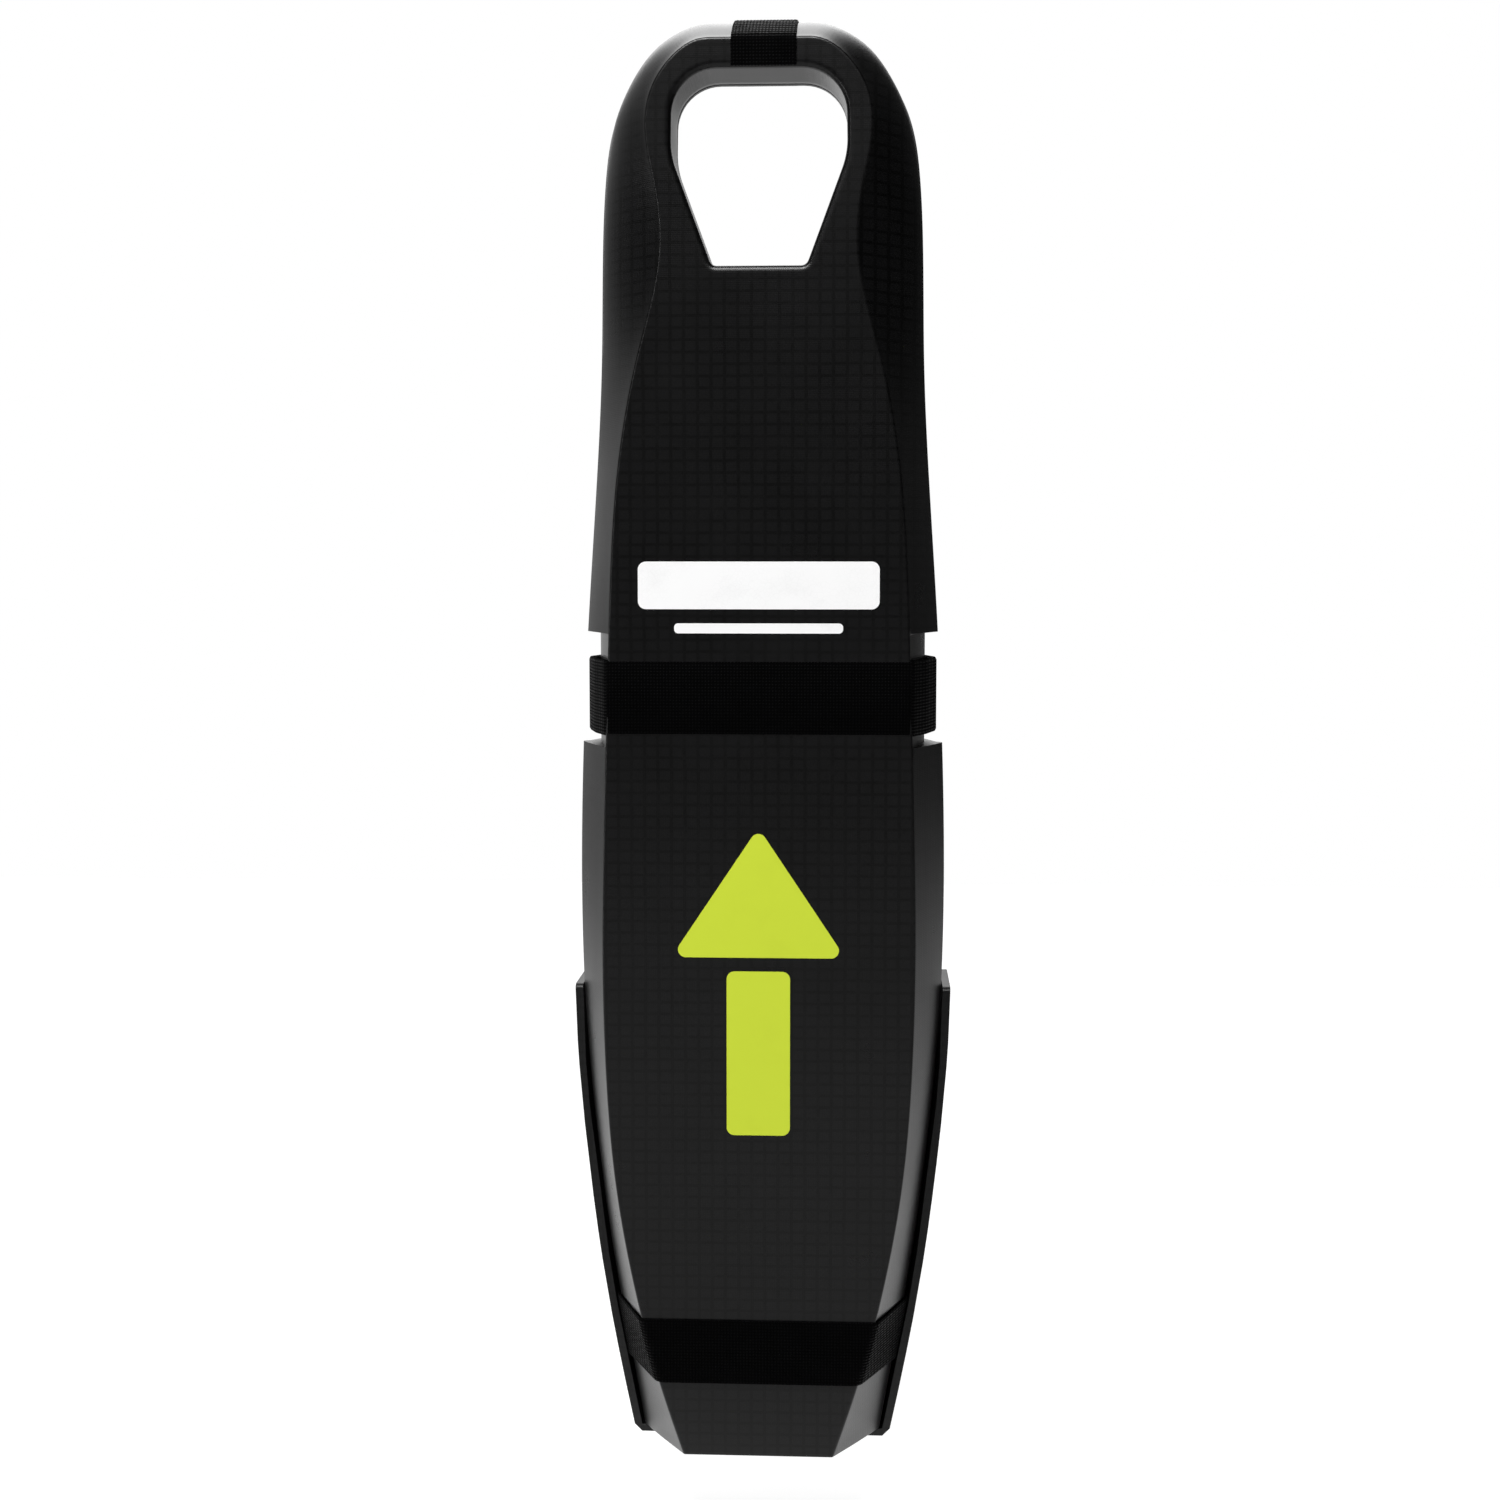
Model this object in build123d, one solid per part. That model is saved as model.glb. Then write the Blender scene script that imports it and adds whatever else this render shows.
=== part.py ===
"""Man-overboard danbuoy: clamshell case with its packed contents, in a clamp-on rail holster.

Working frame while modelling: X to the right, -Y to the front, +Z up, the case's parting plane at
y = 0 and its bottom at z = 0, in millimetres. On export everything moves by TO_ROW_FRAME, so that
the row's origin is the centre of the lower rail clamp and +Z runs up the rail.
"""
from build123d import *
import math
import os

# ---- driving dimensions (mm) -------------------------------------------------------------------
FRONT_DEPTH = 40.0          # parting plane to the flat front face
BACK_DEPTH = 46.0           # parting plane to the flat back face
RIM_DEPTH = 5.0             # rear shell's rim, which also closes the back of the handle
WALL = 2.6                  # moulded wall of both shells
BOTTOM_WALL = 6.0           # thicker bottom, which carries the hinge knuckles
EDGE = 0.7                  # half of the small chamfer round the front face

# Right-hand half outlines, (half width, height), from the bottom corner up to the handle's top.
PARTING = [(62.2, 0), (68.6, 36), (76.5, 80), (85.3, 144), (91.5, 208), (93.9, 261), (94.0, 320),
           (90.2, 422), (85.1, 500), (82.2, 560), (81.3, 616), (79.6, 650), (74.2, 680),
           (64.3, 700), (50.6, 716.4), (39.5, 722.8), (31.0, 725.6), (25.0, 726)]
FACE = [(38.0, 0), (50.0, 36), (61.6, 80), (73.0, 144), (77.7, 208), (78.7, 261), (77.8, 320),
        (74.8, 422), (70.2, 500), (59.4, 560), (48.6, 612), (50.6, 638), (55.6, 672),
        (53.2, 686), (45.0, 700), (36.0, 708.0), (30.0, 710.7), (25.0, 711.4)]
BODY_LEVELS = 9             # outline points that the rear body shares with the parting outline
BODY_TOP = [(79.3, 552), (70.0, 580), (46.0, 588)]      # rear body's shoulder at the rim
BACK_TOP = [(66.0, 520), (57.0, 541), (38.0, 548)]      # the same shoulder at the back face
BODY_INSET = 2.6            # rear body's side inside the parting outline, at the rim
BACK_INSET = 13.0           # the same at the back face

HOLE_BOTTOM, HOLE_TOP = 602.4, 697.0                    # grab handle's opening
HOLE_CORNERS = [(23.4, HOLE_BOTTOM, 4), (43.3, 656, 40), (42.6, HOLE_TOP, 22)]

NOTCH_X = 83.5              # side notches that the centre belt crosses
NOTCH_Z = (365.0, 421.5)

WEBBING = 1.6               # thickness of every strap
STRAP_HALF = 16.0           # handle strap, 32 mm webbing
STRAP_X = 2.4               # it sits a little to the right on the bar
CENTRE_BELT_Z = (370.8, 408.8)
LOWER_BELT_Z = (38.4, 71.6)

KNUCKLE_R = 3.0             # bottom hinge, on the axis y = 0, z = 0
HINGE_PIN_R = 1.25
HINGE_HALF = 40.0
FRONT_KNUCKLES = [(-30.0, -12.0), (12.0, 30.0)]
REAR_KNUCKLES = [(-HINGE_HALF, -30.4), (-11.6, 11.6), (30.4, HINGE_HALF)]

TRAY = [(67.9, -0.5), (75.4, 36), (83.3, 80), (91.7, 144), (97.2, 208), (98.1, 236), (98.2, 262)]
TRAY_WALL = 4.2
TRAY_FRONT = 0.6            # the walls start just behind the parting plane
TRAY_BACK = 50.3            # inner face of the back plate
TRAY_PLATE = 4.0
TRAY_TOP = 236.9            # height of the walls and of the back plate
FLOOR = 4.0

RAIL_R = 12.7               # 1 inch guard rail
LINER = 1.5
CLAMP_Z = (50.0, 190.0)     # lower and upper clamp
CLAMP_HEIGHT = 30.0
CLAMP_HALF = 33.0
CLAMP_BOLT_X = 24.0
SADDLE_BASE = 5.0
BOLT_R = 3.0
PLATE_BACK = TRAY_BACK + TRAY_PLATE
RAIL_Y = PLATE_BACK + SADDLE_BASE + LINER + RAIL_R
CLAMP_GAP = 0.75            # half of the gap between saddle and cap
LUG = 8.0                   # thickness of the cap's lugs
LUG_FACE = RAIL_Y + CLAMP_GAP + LUG
WASHER = 1.2                # thickness of the M6 washers and nuts
NUT = 5.5

MAST = ((-16.0, -26.0, 122.0), (60.0, 40.0, 500.0))     # corners of the folded mast's pack
BAND_WIDTH = 25.0           # elastic retainers
CYLINDER_R = 19.0
CYLINDER_AT = (-45.0, 20.0)
CYLINDER_Z = (128.0, 290.0)
INFLATOR_R = 16.0
PIVOT_X = -2.4              # lever's pivot beside the piercing pin's axis
PIVOT_Z = 33.0              # above the inflator's foot
CAM_R = 6.0
CAM_OFFSET = 2.83           # cam's centre from the pivot
PIN_TRAVEL_GAP = 0.15

TO_ROW_FRAME = Pos(0, -RAIL_Y, -CLAMP_Z[0])


# ---- outlines ----------------------------------------------------------------------------------
def grow(points, amount):
    """Half outline moved outward along its normals; its ends keep their height and half width."""
    moved = [(points[0][0] + amount, points[0][1])]
    for before, here, after in zip(points, points[1:], points[2:]):
        dx, dz = after[0] - before[0], after[1] - before[1]
        length = math.hypot(dx, dz)
        moved.append((here[0] + amount * dz / length, here[1] - amount * dx / length))
    return moved + [(points[-1][0], points[-1][1] + amount)]


def outline(points, y):
    """Closed symmetric wire at depth y from a right-hand half outline."""
    right = [Vector(x, y, z) for x, z in points]
    left = [Vector(-x, y, z) for x, z in reversed(points)]
    sides = [Line(left[-1], right[0]), Spline(*right), Line(right[-1], left[0]), Spline(*left)]
    return Wire([side.edge() for side in sides])


def body_outline(top, inset):
    """Half outline of the rear body: the parting outline's lower part, closed by a shoulder."""
    return grow(PARTING[:BODY_LEVELS + 1], -inset)[:BODY_LEVELS] + top


def block(x, y, z):
    """Box between the limits (low, high) on each axis."""
    size = [high - low for low, high in (x, y, z)]
    centre = [(high + low) / 2 for low, high in (x, y, z)]
    return Pos(*centre) * Box(*size)


def both_sides(x, y, z):
    """The same box on the right and on the left."""
    return block(x, y, z) + block((-x[1], -x[0]), y, z)


def rod(start, direction, radius, length):
    """Cylinder from start along direction."""
    return extrude(Plane(start, z_dir=direction) * Circle(radius), length)


def profile_x(points, x):
    """Solid whose outline in the Y-Z plane runs through the points, between two x values."""
    corners = [Vector(x[0], y, z) for y, z in points]
    return extrude(Face(Wire.make_polygon(corners, close=True)), x[1] - x[0], dir=(1, 0, 0))


def profile_z(points, z):
    """Solid whose outline in the X-Y plane runs through the points, between two z values."""
    corners = [Vector(x, y, z[0]) for x, y in points]
    return extrude(Face(Wire.make_polygon(corners, close=True)), z[1] - z[0], dir=(0, 0, 1))


def hole_prism(margin, y):
    """The handle opening's prism, wider by margin all round, between two depths."""
    half = [(x, z) for x, z, r in HOLE_CORNERS]
    corners = half + [(-x, z) for x, z in reversed(half)]
    sketch = Plane.XZ * make_face(Polyline(*corners, close=True))
    for x, z, radius in HOLE_CORNERS:
        near = [v for v in sketch.vertices() if abs(abs(v.X) - x) < 0.5 and abs(v.Z - z) < 0.5]
        sketch = fillet(near, radius)
    face = Plane.XZ * offset(Plane.XZ.to_local_coords(sketch), margin) if margin else sketch
    return Pos(0, y[1], 0) * extrude(face, y[1] - y[0], dir=(0, -1, 0))


# ---- the case's two shells ---------------------------------------------------------------------
def front_block(margin):
    """Outside of the front shell, grown by margin."""
    return Solid.make_loft([
        outline(grow(PARTING, margin), 0),
        outline(grow(FACE, EDGE + margin), -FRONT_DEPTH + 2 * EDGE - margin),
        outline(grow(FACE, -EDGE + margin), -FRONT_DEPTH - margin)], ruled=True)


def rear_block(margin):
    """Outside of the rear shell's body, grown by margin and taken up to the parting plane."""
    return Solid.make_loft([
        outline(grow(body_outline([(80.0, 552), (71.5, 582), (46.0, 592)], 0), margin), 0),
        outline(grow(body_outline(BACK_TOP, BACK_INSET), margin), BACK_DEPTH + margin)], ruled=True)


def knuckles(spans, radius):
    """Hinge barrels on the bottom axis, one for each span of x."""
    barrels = [rod((low, 0, 0), (1, 0, 0), radius, high - low) for low, high in spans]
    return barrels[0] + barrels[1:]


def front_shell():
    """Front cover: flat face, drafted sides, tube round the handle's opening, two notches."""
    inside = Solid.make_loft([
        outline(grow(PARTING, -WALL - 0.6), 0.1),
        outline(grow(FACE, -WALL - 1.0), -FRONT_DEPTH + WALL)], ruled=True)
    inside = inside & block((-120, 120), (-60, 1), (BOTTOM_WALL, 800))
    inside -= both_sides((NOTCH_X - WALL, 120), (-60, 1), (NOTCH_Z[0] - WALL, NOTCH_Z[1] + WALL))
    inside -= hole_prism(WALL, (-60, 1))
    shell = front_block(0) - inside - hole_prism(0, (-60, 1))
    shell -= both_sides((NOTCH_X, 120), (-60, 1), NOTCH_Z)
    shell -= knuckles([(low - 0.4, high + 0.4) for low, high in REAR_KNUCKLES], KNUCKLE_R + 0.4)
    barrels = knuckles(FRONT_KNUCKLES, KNUCKLE_R)
    return shell + barrels - knuckles([(-60, 60)], HINGE_PIN_R + 0.05)


def rear_shell():
    """Back half: rim that closes the handle, deep body for the pack, water slots, notches."""
    rim = Solid.make_loft([outline(PARTING, 0), outline(grow(PARTING, -1.6), RIM_DEPTH)], ruled=True)
    body = Solid.make_loft([
        outline(body_outline(BODY_TOP, BODY_INSET), RIM_DEPTH - 0.5),
        outline(body_outline(BACK_TOP, BACK_INSET), BACK_DEPTH)], ruled=True)
    inside_rim = grow(body_outline(BODY_TOP, BODY_INSET), -WALL)
    inside_back = grow(body_outline(BACK_TOP, BACK_INSET), -WALL)
    inside = Solid.make_loft([outline(inside_rim, -0.1), outline(inside_back, BACK_DEPTH - WALL)],
                             ruled=True)
    inside = inside & block((-120, 120), (-1, 60), (BOTTOM_WALL, 800))
    inside -= both_sides((NOTCH_X - WALL, 120), (-1, 60), (NOTCH_Z[0] - WALL, NOTCH_Z[1] + WALL))
    shell = rim + body - inside - hole_prism(0, (-1, 60))
    shell -= both_sides((NOTCH_X, 120), (-1, 60), NOTCH_Z)
    for row in range(4):
        for x in (-26, 26):
            shell -= Pos(x, BACK_DEPTH, 470 + 14 * row) * Box(34, 20, 5)
    shell -= knuckles([(low - 0.4, high + 0.4) for low, high in FRONT_KNUCKLES], KNUCKLE_R + 0.4)
    barrels = knuckles(REAR_KNUCKLES, KNUCKLE_R)
    return shell + barrels - knuckles([(-60, 60)], HINGE_PIN_R)


def hinge_pin():
    """Stainless pin through all the knuckles."""
    return knuckles([(-HINGE_HALF, HINGE_HALF)], HINGE_PIN_R)


# ---- webbing, each strap parting where the shells part ------------------------------------------
def handle_strap(front):
    """Webbing over the handle bar: the front half, or the half down the back of the handle."""
    t = WEBBING
    if front:
        line = [(-0.3, 726.3), (-40.1, 711.6), (-40.1, HOLE_TOP + 0.4)]
        outer = [(-40.1 - t, HOLE_TOP + 0.4), (-40.1 - t, 712.4), (-0.3, 726.3 + t)]
    else:
        line = [(0.3, 726.3), (RIM_DEPTH + 0.1, 724.8), (RIM_DEPTH + 0.1, HOLE_TOP + 0.4)]
        outer = [(RIM_DEPTH + 0.1 + t, HOLE_TOP + 0.4), (RIM_DEPTH + 0.1 + t, 725.9), (0.3, 726.3 + t)]
    return profile_x(line + outer, (STRAP_X - STRAP_HALF, STRAP_X + STRAP_HALF))


def centre_belt_ring():
    """Full loop of the centre belt, which bridges the side notches."""
    half = [(76.9, -40.2), (84.5, -21), (89.6, 0), (89.4, 6), (80.3, 46.2)]
    loop = half + [(-x, y) for x, y in reversed(half)]
    inner = profile_z(loop, CENTRE_BELT_Z)
    face = make_face(Polyline(*loop, close=True))
    outer = Pos(0, 0, CENTRE_BELT_Z[0]) * extrude(offset(face, WEBBING), CENTRE_BELT_Z[1] - CENTRE_BELT_Z[0])
    return outer - inner


def centre_belt(front):
    """Half of the centre belt on one shell."""
    y = (-60, -0.3) if front else (0.3, 60)
    return centre_belt_ring() & block((-120, 120), y, (0, 800))


def centre_belt_patch():
    """Overlapping hook-and-loop end at the back of the centre belt."""
    low, high = CENTRE_BELT_Z
    start = BACK_DEPTH + 0.2 + WEBBING
    return block((-38, 46), (start, start + 2.2), (low + 1, high - 1))


def lower_belt(front):
    """Half of the lower belt, wrapped on one shell."""
    make, y = (front_block, (-60, -0.3)) if front else (rear_block, (0.3, 60))
    belt = make(0.15 + WEBBING) - make(0.15)
    return belt & block((-120, 120), y, LOWER_BELT_Z)


# ---- thin markings on the front face ------------------------------------------------------------
def marking(shapes, thickness):
    """Thin stickers on the front face from flat X-Z shapes."""
    solids = [extrude(Plane.XZ.offset(FRONT_DEPTH) * shape, thickness) for shape in shapes]
    return Compound(children=[solid.solid() for solid in solids])


def reflective_label():
    """Blank white retro-reflective panel."""
    return marking([Pos(0, 445.8) * RectangleRounded(120, 23.6, 4)], 0.4)


def reflective_stripe():
    """Slim plain white stripe under the panel."""
    return marking([Pos(0, 424.5) * RectangleRounded(84, 5, 2)], 0.3)


def lift_arrow():
    """Plain up-arrow, head and shaft, in hi-vis yellow-green."""
    head = fillet(Polygon((-44, 0), (44, 0), (0, 66), align=None).vertices(), 4)
    return marking([Pos(0, 259) * head, Pos(0, 210) * RectangleRounded(32, 84, 4)], 0.3)


# ---- packed contents, all carried by the rear shell ----------------------------------------------
def rounded_pack(low, high, radius):
    """Soft pack: a box with all its edges rounded."""
    pack = block(*zip(low, high))
    return fillet(pack.edges(), radius)


def folded_mast():
    """Inflatable mast, folded in a concertina."""
    return rounded_pack(*MAST, 9)


def folded_flag():
    """Flag rolled up across the top of the pack."""
    return fillet(rod((-46, 12, 534), (1, 0, 0), 18, 92).edges(), 5)


def drogue_pack():
    """Folded drogue."""
    return rounded_pack((-50, -20, 60), (50, 38, 112), 10)


def ballast_weight():
    """Cast weight that stands the mast upright."""
    return fillet(block((-42, 42), (6, 38), (BOTTOM_WALL + 0.5, 50)).edges(), 4)


def tether_hank():
    """Webbing tether folded flat on itself."""
    return rounded_pack((-74, 6, 366), (-24, 34, 446), 6)


def pack_retainers():
    """Two elastic bands round the folded mast."""
    (x0, y0, z0), (x1, y1, z1) = MAST
    bands = []
    for low in (200, 420):
        z = (low, low + BAND_WIDTH)
        ring = block((x0 - 1.8, x1 + 1.8), (y0 - 1.8, y1 + 1.8), z)
        core = block((x0 - 0.3, x1 + 0.3), (y0 - 0.3, y1 + 0.3), z)
        bands.append((fillet(ring.edges() | Axis.Z, 10.5) - fillet(core.edges() | Axis.Z, 9.1)).solid())
    return Compound(children=bands)


def gas_cylinder():
    """Steel gas cylinder with a domed shoulder and a threaded neck."""
    low, high = CYLINDER_Z
    body = rod((*CYLINDER_AT, low), (0, 0, 1), CYLINDER_R, high - low - 6)
    body = fillet(body.edges(), 11)
    neck = rod((*CYLINDER_AT, high - 12), (0, 0, 1), 7.5, 22)
    return body + neck


def cylinder_band():
    """Band that holds the cylinder to the rear shell."""
    start = (*CYLINDER_AT, 200)
    return rod(start, (0, 0, 1), CYLINDER_R + 1.7, 22) - rod(start, (0, 0, 1), CYLINDER_R + 0.2, 22)


def at_inflator(shape):
    """Place a shape made about the inflator's foot."""
    return Pos(*CYLINDER_AT, CYLINDER_Z[1]) * shape


def inflator_body():
    """Inflator head: neck socket, piercing pin's bore, lever's slot, cap and stem bosses."""
    body = fillet(rod((0, 0, 0), (0, 0, 1), INFLATOR_R, 46).edges(), 1.5)
    body += rod((0, 0, 14), (0, -1, 0), 11, 18)
    body -= rod((0, 0, -1), (0, 0, 1), 7.6, 12.2)
    body -= rod((0, 0, 5), (0, 0, 1), 3.05, 30)
    body -= block((-30, 7.6), (-3.2, 3.2), (24.5, 60))
    body -= rod((PIVOT_X, -30, PIVOT_Z), (0, 1, 0), 1.5, 60)
    return at_inflator(body)


def inflator_cap():
    """Screw cap over the water-sensing element, with grip ribs."""
    cap = rod((0, -18, 14), (0, -1, 0), 12.5, 14)
    cap = fillet(cap.faces().sort_by(Axis.Y)[0].edges(), 2)
    for step in range(18):
        turn = Rot(0, 20 * step, 0)
        cap -= Pos(0, 0, 14) * turn * Pos(12.9, -22, 0) * Cylinder(0.9, 18, rotation=(90, 0, 0))
    return at_inflator(cap)


def inflator_stem():
    """Gas stem from the inflator to the folded mast."""
    return at_inflator(rod((INFLATOR_R - 0.1, 0, 22), (1, 0, 0), 5, 12.6)) - inflator_body()


def stem_nut():
    """Hexagonal nut on the stem."""
    nut = Plane((INFLATOR_R + 1, 0, 22), z_dir=(1, 0, 0)) * RegularPolygon(9, 6)
    return at_inflator(extrude(nut, 6) - rod((INFLATOR_R, 0, 22), (1, 0, 0), 5, 12))


def lever_pivot():
    """Fixed pin that the lever turns on."""
    return at_inflator(rod((PIVOT_X, -13, PIVOT_Z), (0, 1, 0), 1.5, 26))


def inflator_lever():
    """Manual firing lever: eccentric cam in the slot and an arm that hangs down outside."""
    rise = CAM_OFFSET * math.sin(math.radians(45))
    cam = rod((PIVOT_X + rise, -3, PIVOT_Z + rise), (0, 1, 0), CAM_R, 6)
    arm = block((-21, PIVOT_X), (-2.5, 2.5), (PIVOT_Z - 2.5, PIVOT_Z + 3.5))
    arm += block((-21, -18), (-2.5, 2.5), (12, PIVOT_Z + 3.5))
    return at_inflator(cam + arm - rod((PIVOT_X, -9, PIVOT_Z), (0, 1, 0), 1.55, 20))


def lever_knob():
    """Round grip on the lever's free end."""
    return at_inflator(Pos(-19.5, 0, 7.3) * Cylinder(3.3, 9))


def piercing_pin():
    """Pin that the cam drives into the cylinder's seal."""
    top = PIVOT_Z + CAM_OFFSET * math.sin(math.radians(45)) - CAM_R - PIN_TRAVEL_GAP
    shank = rod((0, 0, 17.5), (0, 0, 1), 3.0, top - 17.5)
    tip = Pos(0, 0, 16) * Cone(0.5, 3.0, 3)
    return at_inflator(shank + tip)


def oral_tube():
    """Top-up tube along the front of the folded mast."""
    return rod((2, -31, 232), (0, 0, 1), 3.5, 76)


def oral_tube_cap():
    """Cap on the top-up tube."""
    cap = rod((2, -31, 308), (0, 0, 1), 4.6, 14)
    return fillet(cap.faces().sort_by(Axis.Z)[-1].edges(), 1.5)


def light_body():
    """Water-activated light: battery housing."""
    return fillet(rod((-48, 14, 458), (0, 0, 1), 13, 34).edges(), 1.5)


def light_lens():
    """Clear dome on the light."""
    dome = rod((-48, 14, 492), (0, 0, 1), 11.5, 18)
    return fillet(dome.faces().sort_by(Axis.Z)[-1].edges(), 9)


def light_bracket():
    """Clip that carries the light on the rear shell."""
    clip = rod((-48, 14, 466), (0, 0, 1), 15, 12) - rod((-48, 14, 466), (0, 0, 1), 13.1, 12)
    clip += block((-54, -42), (28, BACK_DEPTH - WALL - 0.2), (466, 478))
    return clip - rod((-48, 14, 466), (0, 0, 1), 13.1, 12)


# ---- rail holster -------------------------------------------------------------------------------
def tray_block(margin, y):
    """Holster's outline grown by margin, as a prism between two depths."""
    return extrude(Face(outline(grow(TRAY, margin), y[1])), y[1] - y[0], dir=(0, -1, 0))


def holster_tray():
    """U-shaped moulded holster: back plate, two side walls and a floor with chamfered corners."""
    outer = tray_block(0, (TRAY_FRONT, PLATE_BACK))
    outer += profile_foot()
    tray = outer - tray_block(-TRAY_WALL, (-1, TRAY_BACK))
    side = make_face(Polyline((TRAY_FRONT, -10), (TRAY_FRONT, TRAY_TOP), (PLATE_BACK, TRAY_TOP),
                              (PLATE_BACK, -10), close=True))
    tray &= extrude(Plane.YZ * fillet(side.vertices().sort_by(Axis.Y)[-2:], 3), 120, both=True)
    tray -= block((-HINGE_HALF - 1, HINGE_HALF + 1), (-1, KNUCKLE_R + 0.8), (-10, 10))
    for x in (-30, 0, 30):
        tray -= block((x - 9, x + 9), (20, 26), (-10, 10))
    for z in CLAMP_Z:
        for x in (-CLAMP_BOLT_X, CLAMP_BOLT_X):
            tray -= rod((x, 0, z), (0, 1, 0), BOLT_R + 0.3, 80)
            tray -= Pos(x, TRAY_BACK + 1.5, z) * Rot(90, 0, 0) * Cone(BOLT_R + 0.3, 6.4, 3.1)
    tray -= block((-18, 18), (0, 80), (112, 128))
    return tray


def profile_foot():
    """Floor slab under the case, its outer corners chamfered."""
    half = TRAY[0][0]
    z0 = TRAY[0][1]
    corners = [(-half, z0), (-half + FLOOR, z0 - FLOOR), (half - FLOOR, z0 - FLOOR), (half, z0)]
    face = Face(Wire.make_polygon([Vector(x, PLATE_BACK, z) for x, z in corners], close=True))
    return extrude(face, PLATE_BACK - TRAY_FRONT, dir=(0, -1, 0))


def holster_pads():
    """Two foam strips glued on the back plate."""
    strips = [block((x - 9, x + 9), (48.4, TRAY_BACK), (84, 232)) for x in (-50, 50)]
    return Compound(children=[strip.solid() for strip in strips])


def clamp_saddle(z):
    """Inner half of a rail clamp, against the back plate."""
    span = (z - CLAMP_HEIGHT / 2, z + CLAMP_HEIGHT / 2)
    saddle = block((-CLAMP_HALF, CLAMP_HALF), (PLATE_BACK, RAIL_Y - CLAMP_GAP), span)
    saddle = fillet(saddle.edges() | Axis.Y, 5)
    saddle -= rod((0, RAIL_Y, span[0]), (0, 0, 1), RAIL_R + LINER, CLAMP_HEIGHT)
    return saddle - clamp_holes(z)


def clamp_cap(z):
    """Outer half of a rail clamp: two lugs and an arch over the rail."""
    low = z - CLAMP_HEIGHT / 2
    lugs = block((-CLAMP_HALF, CLAMP_HALF), (RAIL_Y + CLAMP_GAP, RAIL_Y + CLAMP_GAP + LUG),
                 (low, low + CLAMP_HEIGHT))
    lugs = fillet(lugs.edges() | Axis.Y, 5)
    arch = rod((0, RAIL_Y, low), (0, 0, 1), RAIL_R + LINER + 5, CLAMP_HEIGHT)
    arch &= block((-50, 50), (RAIL_Y + CLAMP_GAP, RAIL_Y + 50), (low, low + CLAMP_HEIGHT))
    cap = lugs + arch - rod((0, RAIL_Y, low), (0, 0, 1), RAIL_R + LINER, CLAMP_HEIGHT)
    return cap - clamp_holes(z)


def clamp_holes(z):
    """Clearance holes for a clamp's two bolts."""
    holes = [rod((x, 0, z), (0, 1, 0), BOLT_R + 0.3, 120) for x in (-CLAMP_BOLT_X, CLAMP_BOLT_X)]
    return holes[0] + holes[1]


def clamp_liner(z):
    """Rubber liner in two halves round the rail."""
    low = z - CLAMP_HEIGHT / 2
    ring = rod((0, RAIL_Y, low), (0, 0, 1), RAIL_R + LINER, CLAMP_HEIGHT)
    ring -= rod((0, RAIL_Y, low), (0, 0, 1), RAIL_R, CLAMP_HEIGHT)
    return ring - block((-50, 50), (RAIL_Y - CLAMP_GAP, RAIL_Y + CLAMP_GAP), (low, low + CLAMP_HEIGHT))


def at_bolts(make):
    """The same fastener at all four bolt positions, as separate solids."""
    solids = [Pos(x, 0, z) * make() for z in CLAMP_Z for x in (-CLAMP_BOLT_X, CLAMP_BOLT_X)]
    return Compound(children=[solid.solid() for solid in solids])


def clamp_bolt():
    """Countersunk M6 bolt with its head in the back plate."""
    shank = rod((0, TRAY_BACK + 0.1, 0), (0, 1, 0), BOLT_R, LUG_FACE + WASHER + NUT + 2 - TRAY_BACK)
    head = Pos(0, TRAY_BACK + 1.5, 0) * Rot(90, 0, 0) * Cone(BOLT_R, 6.0, 2.8)
    socket = extrude(Plane((0, TRAY_BACK, 0), z_dir=(0, 1, 0)) * RegularPolygon(2.3, 6), 2)
    return shank + head - socket


def clamp_washer():
    """Plain washer on a lug."""
    disc = rod((0, LUG_FACE, 0), (0, 1, 0), 6, WASHER)
    return disc - rod((0, 0, 0), (0, 1, 0), BOLT_R + 0.2, 120)


def clamp_nut():
    """Hexagonal nut on a washer."""
    nut = extrude(Plane((0, LUG_FACE + WASHER, 0), z_dir=(0, 1, 0)) * RegularPolygon(5.77, 6), NUT)
    return nut - rod((0, 0, 0), (0, 1, 0), BOLT_R, 120)


def export(name, shape):
    """Write one sub-part in the row's frame."""
    export_step(TO_ROW_FRAME * shape, f"parts/{name}.step")


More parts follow.
